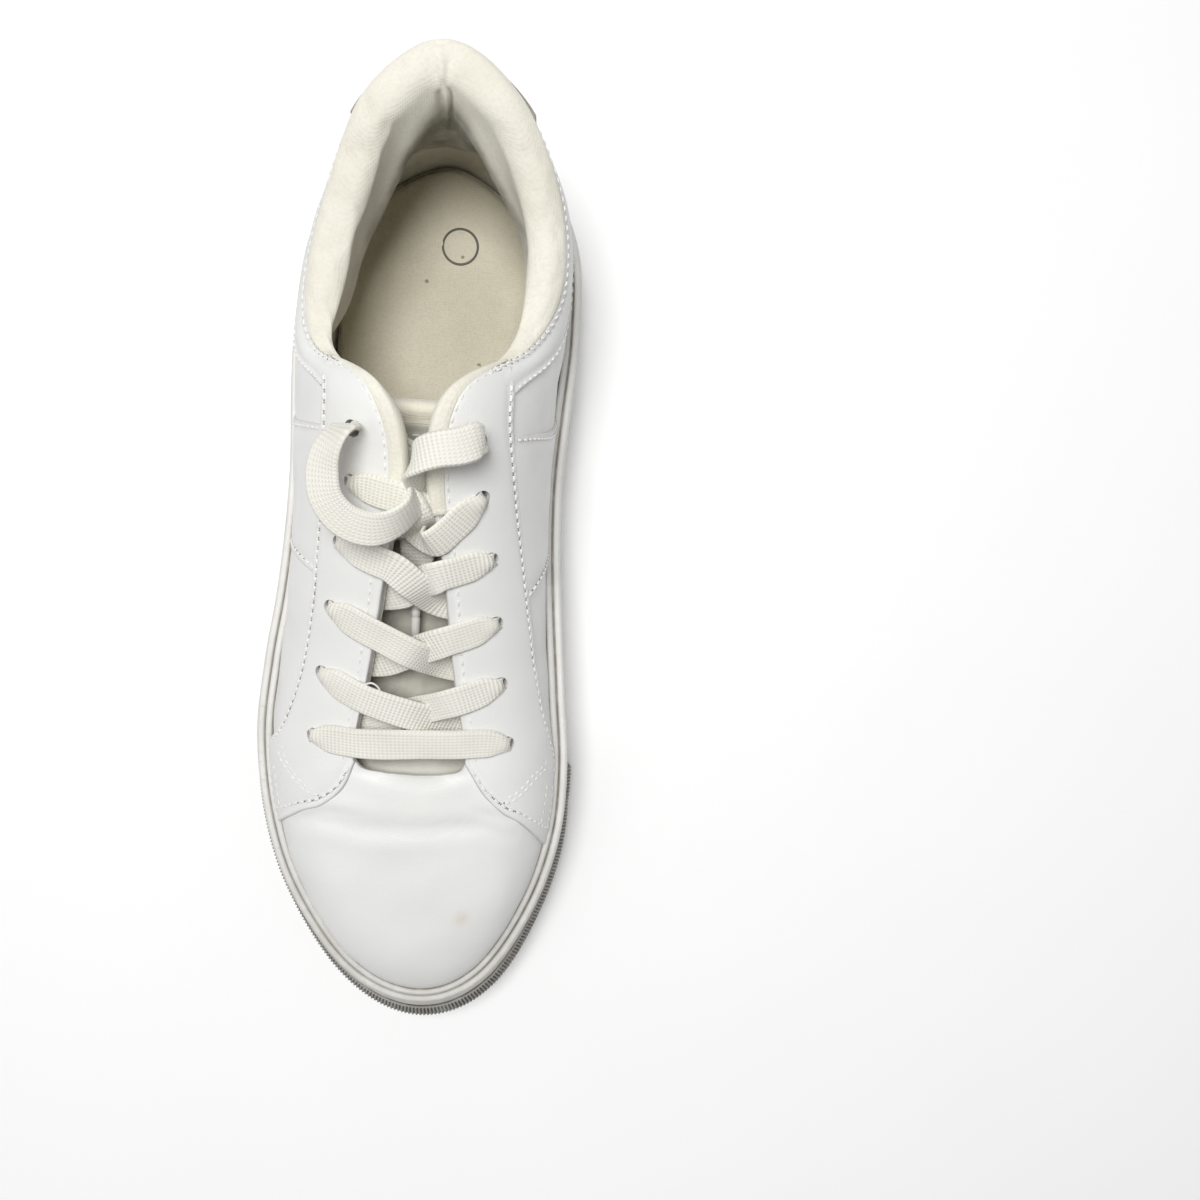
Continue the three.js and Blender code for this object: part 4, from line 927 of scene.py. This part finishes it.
# Tread: fine and coarse herringbone, a smooth border, a grooved band round the coarse panel.
PANEL = [
    (16.6, 123.4), (9.5, 121.3), (3.6, 116.2), (1.4, 110.3), (0.2, 81.6), (-2.6, 45), (-3.9, 25.5),
    (-6.5, 19.2), (-11.2, 15.8), (-18.6, 15.0), (-27.0, 15.6), (-29.6, 13.5), (-30.7, 6.7), (-34.0, -14),
    (-37.1, -34.4), (-38.8, -43.5), (-37.6, -46.6), (-34.5, -45.4), (-25.7, -41.1), (-18, -38.2),
    (-10.5, -36.3), (4.4, -34.4), (19.3, -34.3), (24.8, -35.0), (27.0, -33.4), (25.8, -27.1), (20.7, -14.9),
    (17.6, 3.2), (18.3, 20.9), (22.1, 44.4), (26.3, 72), (29.5, 97.2), (29.9, 107.5), (28.0, 115.5),
    (23.2, 121.4),
]
TOE_LINE = [(-33, -108.9), (-16.1, -112.0), (7.6, -112.7), (26, -110.8), (42, -107.2)]


def signed_distance(x, y, corners):
    """Distance to a closed outline, negative inside it."""
    c = np.array(corners)
    nearest, inside = np.full(x.shape, 1e9), np.zeros(x.shape, bool)
    for (ax, ay), (bx, by) in zip(c, np.roll(c, -1, axis=0)):
        dx, dy = bx - ax, by - ay
        t = np.clip(((x - ax) * dx + (y - ay) * dy) / (dx**2 + dy**2 + 1e-9), 0, 1)
        nearest = np.minimum(nearest, np.hypot(x - ax - t * dx, y - ay - t * dy))
        crosses = ((ay > y) != (by > y)) & (x < dx * (y - ay) / (dy + 1e-12) + ax)
        inside ^= crosses
    return np.where(inside, -nearest, nearest)


def herringbone(x, y, period, swing, pitch, raised=0.5):
    """1 on the raised zigzag lugs and 0 in the grooves between."""
    wave = 2 * np.abs((x / period) % 1 - 0.5)
    f = ((y + swing * wave) / pitch) % 1
    return plateau(f, 0.0, 0.2, raised, raised + 0.2)


s = np.concatenate([np.linspace(0.01, 0.6, 40, endpoint=False), np.linspace(0.6, 12.4, 560, endpoint=False),
                    np.linspace(12.4, 12.99, 40)])
k = np.linspace(0, 1, 150)
left, right = outline(s, outsole_edge(s)), outline(COUNT - s, outsole_edge(COUNT - s))
plate = left[:, None] + (right - left)[:, None] * k[None, :, None]
x, y = plate[..., 0], plate[..., 1]
loop = np.concatenate([left[::4, :2], right[::-4, :2]])
inset = -signed_distance(x, y, loop)
to_panel = signed_distance(x, y, PANEL)
curve = along(TOE_LINE, np.linspace(0, 1, 60))
toe_y = np.interp(x, curve[:, 0], curve[:, 1])
heel_zone = smooth(y, -20, -16)
fine = lerp(herringbone(x + 2, y, 12.7, 5.4, 3.4), herringbone(x + 1.5, y, 13.6, 5.9, 3.9), heel_zone)
coarse = herringbone(x - 1.8, y, 7.35, 3.1, 6.7, 0.52)
toe_zone = herringbone(x, y, 6.8, 2.6, 4.3)
lug = np.where(y < toe_y, toe_zone, fine)
lug = np.where(to_panel < 0, coarse, lug)
deep = np.where(to_panel < 0, 1.7, 1.25)
band_mask = 1 - smooth(np.abs(to_panel), 1.9, 2.5)
line_mask = 1 - smooth(np.abs(y - toe_y), 1.0, 1.5)
border_mask = 1 - smooth(inset, 5.2, 5.8)
plain = np.maximum(np.maximum(band_mask, line_mask), border_mask)
depth = deep * (1 - lug) * (1 - plain)
depth += 0.2 * band_mask * (1 - border_mask) + 0.9 * hump(to_panel, 0.42) * (1 - border_mask)
depth += 0.6 * hump(y - toe_y, 0.5) * (1 - border_mask)
depth += 1.1 * hump(inset, 0.5)
plate[..., 2] = spring_at(y) + depth
darkened = 0.5 * smooth(depth, 0.3, 1.3) + 0.3 * smooth(y, -20, -70) * smooth(depth, 0.5, 1.4)
darkened = np.clip(darkened + 0.9 * hump(inset, 0.9) + 0.5 * hump(to_panel, 0.5), 0, 1)
inner_side = np.where(x > 8, hump(inset - 3.2, 3.0), 0)
marks = inner_side * plateau(y, -32, -15, 48, 68) * 0.85
for at_x, at_y, size in ((8.5, 71, 2.0), (7, 28.5, 3.2), (18, 25, 2.6), (-13, 16, 1.6), (28, -23, 2.2)):
    marks = np.maximum(marks, 1.4 * np.exp(-(((x - at_x) / (size * 1.3)) ** 2 + ((y - at_y) / size) ** 2)))
skirt = lambda column: column + np.array([0, 0, 3.2])
plate = np.concatenate([skirt(plate[:, :1]), plate, skirt(plate[:, -1:])], 1)
spread = lambda values: np.concatenate([values[:, :1], values, values[:, -1:]], 1).ravel()
tread = build("tread", plate, grid_faces(*plate.shape[:2])[:, ::-1], TREAD, "shoe", "tread_rubber",
              {"dirt": spread(darkened), "scuff": spread(np.clip(marks, 0, 1))})
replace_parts(tread, "outsole")

# ---- Inside: footbed, linings and hidden layers ------------------------------------------------
s = np.linspace(0.01, 12.99, 300)
k = np.linspace(0, 1, 90)
k = k - 0.08 * np.sin(2 * np.pi * k)
left, right = (outline(x, 0.9 - SOCKLINER[2]) for x in (s, COUNT - s))
bed = left[:, None] + (right - left)[:, None] * k[None, :, None]
loop = np.concatenate([left[::3, :2], right[::-3, :2]])
inset = -signed_distance(bed[..., 0], bed[..., 1], loop)
bed[..., 2] = SOCKLINER[1] - 1.0 * (1 - smooth(inset, 0, 2.2)) + 0.12 * noise(bed, 22, 4)
y = bed[..., 1]
seat = hump(np.hypot(bed[..., 0] - 4, (y - 96) * 0.8), 30)
bed[..., 2] -= 0.5 * seat
# Darker along the footbed's edge and towards the heel wall, and a little on the heel seat where the foot
# wears it.
rim_darkening = hump(inset - 0.5, 0.4) * (0.1 + 0.6 * smooth(noise(bed, 12, 5), -0.2, 0.7))
heel_darkening = 0.22 * hump(inset, 3.0) * smooth(y, 108, 126) + 0.1 * seat
bed = np.concatenate([bed[:, :1] - [0, 0, 3.5], bed, bed[:, -1:] - [0, 0, 3.5]], 1)
footbed = build("footbed", bed, grid_faces(*bed.shape[:2]), LINEN, "shoe", "sockliner",
                {"dirt": spread(np.clip(rim_darkening + heel_darkening, 0, 1))})
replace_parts(footbed, "sockliner")

INK = rubber("printed_ink", (0.075, 0.07, 0.06), (0.16, 0.15, 0.12), grain=0.4, depth=0.02, amount=0.8)
ring_at = np.array([7.1, 106.0, SOCKLINER[1] - 0.38])
verts = np.concatenate([circle([r, 0, 0], [0, r, 0], 72) + [0, 0, h]
                        for r, h in ((4.95, -0.2), (5.0, 0.07), (5.7, 0.07), (5.75, -0.2))]) + ring_at
build("printed_ring", verts, grid_faces(4, 72, wrap_columns=True), INK, "shoe", "sockliner")


def lining(name, node, low, high, face, side_of=None, top=1.0):
    """Lining cloth 0.9 thick between two stations, its face at that offset from the skin."""
    i, k = np.meshgrid(np.linspace(low, high, 90), np.linspace(0, top, 40), indexing="ij")
    pleats = 0.25 * noise(surface(i, k), 15, 2)
    obj = slab(name, offset(i, k, face + pleats), offset(i, k, face - 0.9 + pleats), LINING, None, "lining")
    if side_of:
        punch(obj, side_of)
    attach(obj, "shoe")
    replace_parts(obj, node)


lining("vamp_lining_cloth", "vamp_lining", 9.5, COUNT - 9.5, -3.0, top=0.95)
for name, low, high in (("lateral", 5.3, 9.5), ("medial", COUNT - 9.5, COUNT - 5.3)):
    lining(f"quarter_lining_cloth_{name}", f"quarter_lining_{name}", low, high, -1.7, SIDES[name])
for node in ("midsole", "insole_board", "heel_counter", "toe_puff"):
    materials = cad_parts[node].data.materials
    materials.clear()
    materials.append(FOAM if node == "midsole" else BOARD)


# ---- Padded collar -----------------------------------------------------------------------------
def soften(obj, held, pressure, grow, cap_mm, frames=20):
    """Lets a padded piece settle as cloth: held points stay, the others move by no more than the cap."""
    start = np.array([v.co for v in obj.data.vertices])
    group = obj.vertex_groups.new(name="held")
    for i, share in enumerate(held):
        if share > 0:
            group.add([i], float(share), "REPLACE")
    cloth = obj.modifiers.new("cloth", "CLOTH")
    settings = cloth.settings
    settings.quality = 6
    settings.mass = 0.15
    settings.tension_stiffness = settings.compression_stiffness = 18
    settings.bending_stiffness = 0.4
    settings.use_pressure = True
    settings.uniform_pressure_force = pressure
    settings.shrink_min = -grow
    settings.vertex_group_mass = "held"
    settings.effector_weights.gravity = 0
    cloth.point_cache.frame_start, cloth.point_cache.frame_end = 1, frames
    for step in range(1, frames + 1):
        SCENE.frame_set(step)
    freeze(obj)
    SCENE.frame_set(1)
    moved = np.array([v.co for v in obj.data.vertices]) - start
    size = np.linalg.norm(moved, axis=1, keepdims=True)
    limit = cap_mm * MM
    moved *= np.minimum(1, limit * np.tanh(size / limit) / np.maximum(size, 1e-9))
    obj.data.vertices.foreach_set("co", (start + moved).ravel())
    obj.vertex_groups.clear()
    smoother = obj.modifiers.new("smooth", "SUBSURF")
    smoother.levels = 1
    freeze(obj)


COLLAR_END, PAD_LOW, PAD_HIGH, ROLL, LIP = 5.0, 5.4, 9.6, 3.8, 1.0


def pad_depth(s, v):
    away = COLLAR_END - np.abs(s)
    depth = lerp(PAD_LOW, PAD_HIGH, smooth(v, 0.28, 0.52) * smooth(away, 0, 2.2))
    depth += 3.2 * hump(v - 0.8, 0.16) * plateau(np.abs(s), 0.25, 0.9, 1.6, 2.8)
    depth += 2.8 * hump(v - 0.62, 0.17) * smooth(away, 0.3, 1.6) * smooth(np.abs(s), 0.4, 1.5)
    return depth * lerp(0.2, 1.0, smooth(away, 0, 2.4))


def heel_folds(s, share):
    """Two soft folds in the lining at the top of the heel, share 0 on the rim and 1 well inside."""
    across = s * 22
    reach = plateau(share, 0.08, 0.25, 0.3, 0.55)
    dip = 1.9 * hump(across - 5.5 + 5 * share, 1.8)
    dip += 2.0 * hump(across + 2.0 + 2 * share, 1.6)
    swell = 1.0 * hump(across - 1.8 + 2 * share, 2.0)
    return (dip - swell) * reach


stations = np.linspace(-COLLAR_END, COLLAR_END, 171)
turns = np.linspace(0, np.pi, 15)
columns = [offset(stations, v, -1.5) for v in (0.02, 0.25, 0.5, 0.72, 0.86, 0.95)]
inner_shade = []
rim = surface(stations, 1.0)
out = outwards(stations)
over = over_rim(stations)
columns += [rim - out * 1.3 - over * 1.2, rim + out * (LIP - 0.75) - over * 0.75]
hold = [1.0] * len(columns)
span = (pad_depth(stations, 0.95) + LIP) / 2
roll = lerp(0.25, ROLL, smooth(COLLAR_END - np.abs(stations), 0.1, 2.2))
for a in turns:
    fold = heel_folds(stations, 0.32 * (1 - np.cos(a)) / 2)
    wave = 0.35 * np.sin(a) * noise(rim, 19, 6) + fold * 0.5
    aside, ahead = LIP - span + span * np.cos(a), roll * max(np.sin(a), 0) ** 0.8 - wave
    columns.append(rim + out * aside[:, None] + over * ahead[:, None])
    hold.append(1.0 if a < 0.3 else 0.35 if a < 0.8 else 0.0)
for v in np.linspace(0.9, 0.0, 22):
    depth = pad_depth(stations, v)
    point = offset(stations, v, -depth)
    level = out * (0.55 * noise(point, 24, 9) * smooth(v, 0.2, 0.7))[:, None]
    fold = heel_folds(stations, 0.32 + 1.25 * (0.9 - v))
    columns.append(point + level + out * fold[:, None])
    hold.append(0.0 if v > 0.1 else 1.0)
    # Painted shade on the inner heel wall: the lining darkens below the pad's crest, most just under it, and
    # only round the back of the heel.
    darkened = smooth(0.9 - v, 0.0, 0.12) * (0.95 - 0.7 * smooth(0.62 - v, 0, 0.4))
    inner_shade.append(darkened * (1 - smooth(np.abs(stations), 1.2, 3.4)))
section = np.stack(columns, 1)
rows = len(columns)
unshaded = np.zeros((len(stations), rows - len(inner_shade)))
collar_pad = build("collar_padding", section, tube_faces(len(stations), rows), LINING, None, "lining",
                   {"dirt": np.concatenate([unshaded, np.stack(inner_shade, 1)], 1)})
held = np.tile(np.array(hold), (len(stations), 1))
held[:3] = held[-3:] = 1.0
soften(collar_pad, held.ravel(), 1.6, 0.012, 1.5)
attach(collar_pad, "shoe")
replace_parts(collar_pad, "collar_lining", "collar_foam")

# The lining folded over the throat's edge, as far as the bar tack.
BINDING_END = 6.38
for name, side_of in SIDES.items():
    i = np.linspace(4.3, BINDING_END, 70)
    s = side_of(i)
    rim = surface(s, 1.0)
    over = over_rim(s)
    up = normal(s, 1.0)
    full = smooth(i, 4.3, 4.75)
    flap = lerp(0.985, 0.956, full)
    front, back = [], []
    top = OVERLAY + 0.42
    for k in np.linspace(0, 1, 9):
        v = lerp(flap, 1.0, k)
        edge = edge_round(k, 1 / 6)
        dent = 0.3 * hump(k - 0.2, 0.1)
        front.append(offset(s, v, top - 0.5 + 0.5 * edge - dent + 0.12 * noise(rim, 9, 11) * k))
        back.append(offset(s, v, top - 0.85))
    middle = (top - 3.1) / 2
    for a in np.linspace(0.25, np.pi, 9):
        front.append(rim + up * (middle + (top - middle) * np.cos(a)) + over * (1.3 * np.sin(a)))
        back.append(rim + up * (middle + (top - middle - 0.7) * np.cos(a)) + over * (0.6 * np.sin(a)))
    for v in (0.97, 0.93):
        front.append(offset(s, v, -3.1))
        back.append(offset(s, v, -2.4))
    slab(f"throat_binding_{name}", np.stack(front, 1), np.stack(back, 1), LINING, "shoe", "lining")
    tack = np.linspace(0, 1, 30)
    seam_on(f"bar_tack_{name}", lambda i, k: (side_of(i), k), top + 0.1, BINDING_END - 0.02,
            lerp(0.94, 0.998, tack), pitch=0.5, radius=0.24, lift=0.2, slant=2.4, length=0.95, holes=False)

# ---- Tongue ------------------------------------------------------------------------------------
TONGUE_LINE = [[-57, 46.9], [-46, 45.6], [-22, 47.5], [4, 55], [30, 64.5], [54, 73]]
TONGUE_CENTRE = 4
FACE_END = 0.93


def tongue_place(t, w, depth):
    y, z = np.moveaxis(along(TONGUE_LINE, t), -1, 0)
    half = lerp(18, 22, smooth(t, 0.02, 0.45)) * (1 - 0.35 * smooth(t, 0.9, 1))
    drop = 6 * w * w * smooth(t, 0, 0.3)
    return np.stack([TONGUE_CENTRE + w * half, y, z - drop - depth], -1)


t, w = np.meshgrid(graded(118, 1.6), graded(44, 1.5) * 2 - 1, indexing="ij")
flat = tongue_place(t * FACE_END, w * 0.97, 0)
e = edge_distance(flat, (0, 1, 1, 1))
height = -0.9 + 0.9 * edge_round(e, 0.8) - 0.25 * hump(e - 2.6, 0.7)
height += 0.3 * noise(flat, 26, 12) * smooth(e, 1, 6) + 0.5 * plateau(t, 0.05, 0.1, 0.12, 0.2)
UPRIGHT = np.array([0, 0, 1.0])
# Greyer cut edges, and painted shade over the tongue's face from about a tenth of its length up, where it
# lies in the throat.
edge_grey_and_shade = np.maximum(hump(e, 0.6), 0.85 * smooth(t, 0.1, 0.2))
tongue_face = slab("tongue_leather", flat + UPRIGHT * height[..., None], flat - UPRIGHT * 1.35, TONGUE_SHADED_LEATHER,
                   "tongue", "white_leather", {"edge": np.concatenate([edge_grey_and_shade.ravel(), np.ones(e.size)]),
                                               "stain": np.zeros(2 * e.size)}, sharp=50)
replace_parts(tongue_face, "tongue_face")
line_t = np.concatenate([np.linspace(0.05, 0.905, 120), np.full(60, 0.905), np.linspace(0.905, 0.05, 120)])
line_w = np.concatenate([np.full(120, -0.85), np.linspace(-0.85, 0.85, 60), np.full(120, 0.85)])
points = tongue_place(line_t, line_w, 0.25)
stitches("stitches_tongue", points, np.tile([0, -0.25, 0.97], (300, 1)), body="tongue", pitch=3.0)

t, w = np.meshgrid(np.linspace(0, 1, 66), np.linspace(-1, 1, 30), indexing="ij")
flat = tongue_place(t, w * 0.99, 0)
e = edge_distance(flat, (1, 1, 1, 1))
full = edge_round(e, 4.5)
top = lerp(4.4, lerp(1.75, -0.5, smooth(t, FACE_END - 0.01, FACE_END + 0.03)), full)
low = lerp(4.4, 7.0, full)
low += 0.25 * noise(flat, 16, 13) * full
tongue_pad = slab("tongue_padding", flat - UPRIGHT * top[..., None], flat - UPRIGHT * low[..., None], TONGUE,
                  None, "lining")
hidden = smooth(FACE_END - t, 0, 0.03).ravel()
soften(tongue_pad, np.concatenate([hidden, np.zeros(t.size)]), 1.5, 0.006, 0.7)
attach(tongue_pad, "tongue")
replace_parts(tongue_pad, "tongue_foam", "tongue_lining")

# ---- Lace --------------------------------------------------------------------------------------
LACE_WIDTH, LACE_BUNCHED, LACE_THICK = 9.3, 3.6, 1.5
OVER, UNDER, PAST_EDGE = 2.35, 4.75, 2.1
SIDE_OF = [SIDES["lateral"], SIDES["medial"]]
V3 = lambda *p: np.array(p, float)


def flat_across(a, b, up):
    return unit(np.cross(b - a, up))


def beyond_rim(s, distance):
    return offset(s, 1, distance) + over_rim(s) * PAST_EDGE


def over_facing(edge_s, eye_s, eye_v, distance):
    return [offset(lerp(edge_s, eye_s, t), lerp(1, eye_v, t), distance) for t in (0.3, 0.65, 1)]


def crossing(row, side, lift):
    """From an eyelet behind its facing, up through the throat and over to the next eyelet opposite."""
    start_side, end_side = SIDE_OF[side], SIDE_OF[1 - side]
    (s0, v0), (s1, v1) = EYELETS[row], EYELETS[row + 1]
    start, end = start_side(s0), end_side(s1)
    leave, arrive = start_side(s0 - 0.12), end_side(lerp(s0, s1, 0.2 if (row, side) == (3, 0) else 0.72))
    below = offset(start, v0, -UNDER)
    edge_under, edge_over = beyond_rim(leave, -UNDER), beyond_rim(arrive, OVER)
    middle = (edge_under + edge_over) / 2
    middle[2] = (surface(leave, 1)[2] + surface(arrive, 1)[2]) / 2 + lift
    under = flat_across(below, edge_under, normal(start, v0))
    opened = flat_across(edge_under, edge_over, normal(leave, 1) + normal(arrive, 1))
    above = over_facing(arrive, end, v1, OVER)
    over = flat_across(edge_over, above[2], normal(end, v1))
    return [(below, under, LACE_BUNCHED), ((below + edge_under) / 2, under, LACE_WIDTH * 0.8),
            (edge_under, opened, LACE_WIDTH), (middle, opened, LACE_WIDTH), (edge_over, over, LACE_WIDTH),
            (above[0], over, LACE_WIDTH), (above[1], over, LACE_WIDTH * 0.95), (above[2], over, LACE_BUNCHED)]


def top_crossing(row, side):
    run = crossing(row, side, 0)[:2]
    s1, v1 = EYELETS[row + 1]
    station = SIDE_OF[1 - side](s1)
    hole = offset(station, v1, -UNDER)
    w = flat_across(run[1][0], hole, normal(station, v1))
    low = (run[1][0] + hole) / 2 - V3(0, 0, 1.5)
    return run + [(low, w, LACE_WIDTH * 0.8), (hole, w, LACE_BUNCHED),
                  (offset(station, v1, -0.4), w, LACE_BUNCHED), (offset(station, v1, OVER), w, LACE_BUNCHED)]


def strand(first_side, lift):
    points = []
    for row in range(5):
        side = (first_side + row) % 2
        before = points[-1][1] if points else V3(0, 1, 0)
        points.append((offset(SIDE_OF[side](EYELETS[row][0]), EYELETS[row][1], -0.4), before, LACE_BUNCHED))
        points += top_crossing(row, side) if row == 4 else crossing(row, side, -lift if row % 2 else lift)
    return points


TAIL_LATERAL = [
    [-12.4, 44.0, 89.5, 0.3, -0.3, 0.9], [-15.6, 39.6, 91, 0.75, -0.3, 0.6],
    [-17.2, 33.6, 90, 0.9, -0.1, 0.35], [-16.4, 26.2, 88.6, 0.85, 0.35, 0.3],
    [-11.9, 20.9, 87.6, 0.5, 0.8, 0.25], [-5.1, 19.0, 87.0, 0, 0.95, 0.3],
    [0.7, 20.9, 86.2, -0.35, 0.6, 0.7], [4.6, 24.9, 84.2, -0.3, 0.25, 0.92],
    [5.6, 28.6, 80.5, -0.5, 0.1, 0.75], [4.6, 27.5, 74.5, -0.9, 0, 0.3], [3.8, 19, 67.5, -1, 0, 0.1],
    [3.6, 10, 62, -1, -0.1, 0], [3.2, -1, 57.6, -1, 0, 0],
]
TAIL_MEDIAL = [
    [21.2, 42.8, 91.5, 0, 1, 0], [17, 40.8, 93.8, 0, 1, 0.05], [11.2, 39.6, 94, 0.05, 1, 0],
    [7, 38.2, 92.2, 0.1, 1, 0], [4.7, 36.4, 88.8, 0.2, 0.97, 0.05], [4.9, 34, 85, 0.45, 0.85, -0.1],
    [6, 32.5, 80.8, 0.6, 0.75, -0.2], [8.4, 33, 75, 0.2, 0.9, 0], [10.6, 31.5, 70, -0.4, 0.85, 0],
    [12.5, 23, 65.6, -1, 0.1, 0],
]
BAR_STATION = 8.95


def first_bar():
    s0, v0 = EYELETS[0]
    half = [[beyond_rim(side(BAR_STATION), OVER + 0.2)] + over_facing(side(BAR_STATION), side(s0), v0, OVER)
            for side in SIDE_OF]
    middle = (half[0][0] + half[1][0]) / 2
    middle[2] = half[0][0][2] + 0.8
    w = flat_across(half[0][0], half[1][0], normal(s0, 1))
    widths = [LACE_WIDTH, LACE_WIDTH, LACE_WIDTH * 0.93, LACE_BUNCHED]
    outer, inner = ([(p, w, x) for p, x in zip(side, widths)] for side in half)
    return outer[::-1] + [(middle, w, LACE_WIDTH)] + inner


def lace_route():
    tail = lambda rows: [(V3(*r[:3]), unit(V3(*r[3:])), LACE_WIDTH) for r in rows]
    to_medial = strand(0, -3.3) + tail(TAIL_MEDIAL)
    to_lateral = strand(1, 2.2) + tail(TAIL_LATERAL)
    points = to_medial[::-1] + first_bar() + to_lateral
    places = np.array([p for p, _, _ in points])
    across = np.array([w for _, w, _ in points])
    widths = np.array([x for _, _, x in points], float)
    widths[0] = widths[-1] = 2.4
    for i in range(1, len(across)):
        if across[i] @ across[i - 1] < 0:
            across[i] *= -1
    return places, across, widths


def fair_curve(points, per=24):
    """Centripetal curve through points: places and the route number of each."""
    p = np.vstack([2 * points[0] - points[1], points, 2 * points[-1] - points[-2]])
    knots = np.concatenate([[0], np.cumsum(np.sqrt(np.linalg.norm(np.diff(p, axis=0), axis=1)))])
    made, number = [], []
    for i in range(1, len(p) - 2):
        t = np.linspace(knots[i], knots[i + 1], per, endpoint=False)[:, None]
        mix = lambda a, b, ta, tb: ((tb - t) * a + (t - ta) * b) / (tb - ta)
        k = knots[i - 1:i + 3]
        a1, a2, a3 = (mix(p[i - 1 + j], p[i + j], k[j], k[j + 1]) for j in range(3))
        b1, b2 = mix(a1, a2, k[0], k[2]), mix(a2, a3, k[1], k[3])
        made.append(mix(b1, b2, k[1], k[2]))
        number.append(i - 1 + np.linspace(0, 1, per, endpoint=False))
    return np.vstack(made + [points[-1:]]), np.concatenate(number + [[len(points) - 1]])


def blur(rows, size):
    """Running average of a list of rows, ends held."""
    kernel = np.hanning(2 * size + 3)[1:-1]
    kernel /= kernel.sum()
    padded = np.concatenate([np.repeat(rows[:1], size, 0), rows, np.repeat(rows[-1:], size, 0)])
    return np.stack([np.convolve(padded[:, a], kernel, "valid") for a in range(rows.shape[1])], -1)


places, across, widths = lace_route()
curve, number = fair_curve(places)
travelled = travel(curve)
STEP = 1.0
even = np.linspace(0, travelled[-1], int(travelled[-1] / STEP))
read = lambda values: np.stack([np.interp(even, travelled, values[:, a]) for a in range(values.shape[1])], -1)
at = np.stack([np.interp(number, np.arange(len(places)), col) for col in (*across.T, widths)], -1)
centre, at = blur(read(curve), 1), blur(read(at), 3)
tangent = unit(np.gradient(centre, axis=0))
w = at[:, :3] - tangent * np.sum(at[:, :3] * tangent, 1)[:, None]
w = unit(w)
n = np.cross(w, tangent)
wide = at[:, 3] * (1 + 0.03 * noise(centre, 15, 21))
u = np.linspace(-1, 1, 37)
half = 0.5 * LACE_THICK * np.sqrt(np.clip(1 - np.abs(u) ** 5, 0, 1)) + 0.14 * hump(np.abs(u) - 0.83, 0.12)
rib = 0.075 * np.cos(2 * np.pi * u * LACE_WIDTH / 2 / RIB_PITCH)
profile_u = np.concatenate([u, u[-2:0:-1]])
profile_h = np.concatenate([half + rib, -(half + rib)[-2:0:-1]])
cup = (LACE_WIDTH - wide).clip(0) * 0.27 * np.tanh(n[:, 2] * 4)
curl = 0.25 * noise(centre, 28, 22)
bend = -(cup + curl)[:, None] * profile_u[None] ** 2
fit = np.clip(wide / LACE_WIDTH, 0.62, 1.0)
lace_verts = centre[:, None] + w[:, None] * (profile_u[None] * wide[:, None] / 2)[..., None]
lace_verts = lace_verts + n[:, None] * (profile_h[None] * lerp(1.15, 1.0, fit)[:, None] + bend)[..., None]
sides = len(profile_u)
lace = build("lace_ribbon", lace_verts, tube_faces(len(centre), sides), LACE, "shoe", "lace",
             {"along": np.repeat(even, sides), "across": np.tile(profile_u * LACE_WIDTH / 2, len(centre))})
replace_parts(lace, "lace")


def lace_tip(name, end, way):
    """A hard moulded tip with two crimps, around the lace's end."""
    t = np.array([-0.3, -0.3, 0.0, 0.3, 1.6, 2.0, 2.4, 4.0, 4.4, 4.8, 10, 16.4, 17.4, 18.0, 18.3, 18.3])
    r = np.array([0.0, 0.9, 1.22, 1.32, 1.32, 1.08, 1.32, 1.32, 1.08, 1.32, 1.27, 1.24, 1.15, 0.8, 0.4, 0.0])
    a = unit(np.cross(way, [0.2, 0.1, 0.97]))
    ring = circle(a, np.cross(way, a), 20)
    verts = end + way * (t + 0.6)[:, None, None] + ring[None] * r[:, None, None]
    faces = grid_faces(len(t), 20, wrap_columns=True)
    return build(name, verts, facing_out(verts.reshape(-1, 3), faces), PLASTIC, "shoe", "aglet")


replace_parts(lace_tip("lace_tip_medial", centre[0], -tangent[0]), "aglet_medial")
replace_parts(lace_tip("lace_tip_lateral", centre[-1], tangent[-1]), "aglet_lateral")

# A loose end of thread at the throat's edge.
THREAD_STATION = 8.22
loop_at, loop_up = surface(THREAD_STATION, 0.985), normal(THREAD_STATION, 0.985)
way_in = over_rim(THREAD_STATION)
way_on = np.cross(loop_up, way_in)
shape = [(0, 0, 1.6), (1.2, 1.5, 2.6), (3.4, 2.6, 2.9), (5.2, 1.2, 2.2), (5.3, -1.8, 1.3), (3.2, -3.2, 0.9),
         (1.4, -2.4, 1.2)]
knots = np.array([loop_at + way_in * a + way_on * b + loop_up * c for a, b, c in shape])
path, _ = fair_curve(knots, 8)
direction = unit(np.gradient(path, axis=0))
a = unit(np.cross(direction, loop_up))
verts = path[:, None] + circle(a, np.cross(direction, a), 7) * 0.28
build("loose_thread", verts, tube_faces(len(path), 7), THREAD, "shoe", "white_leather")

needle_hole_shade()
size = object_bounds()
{"cad": [list(c) for c in CAD_BOX], "visual": [list(c) for c in size]}
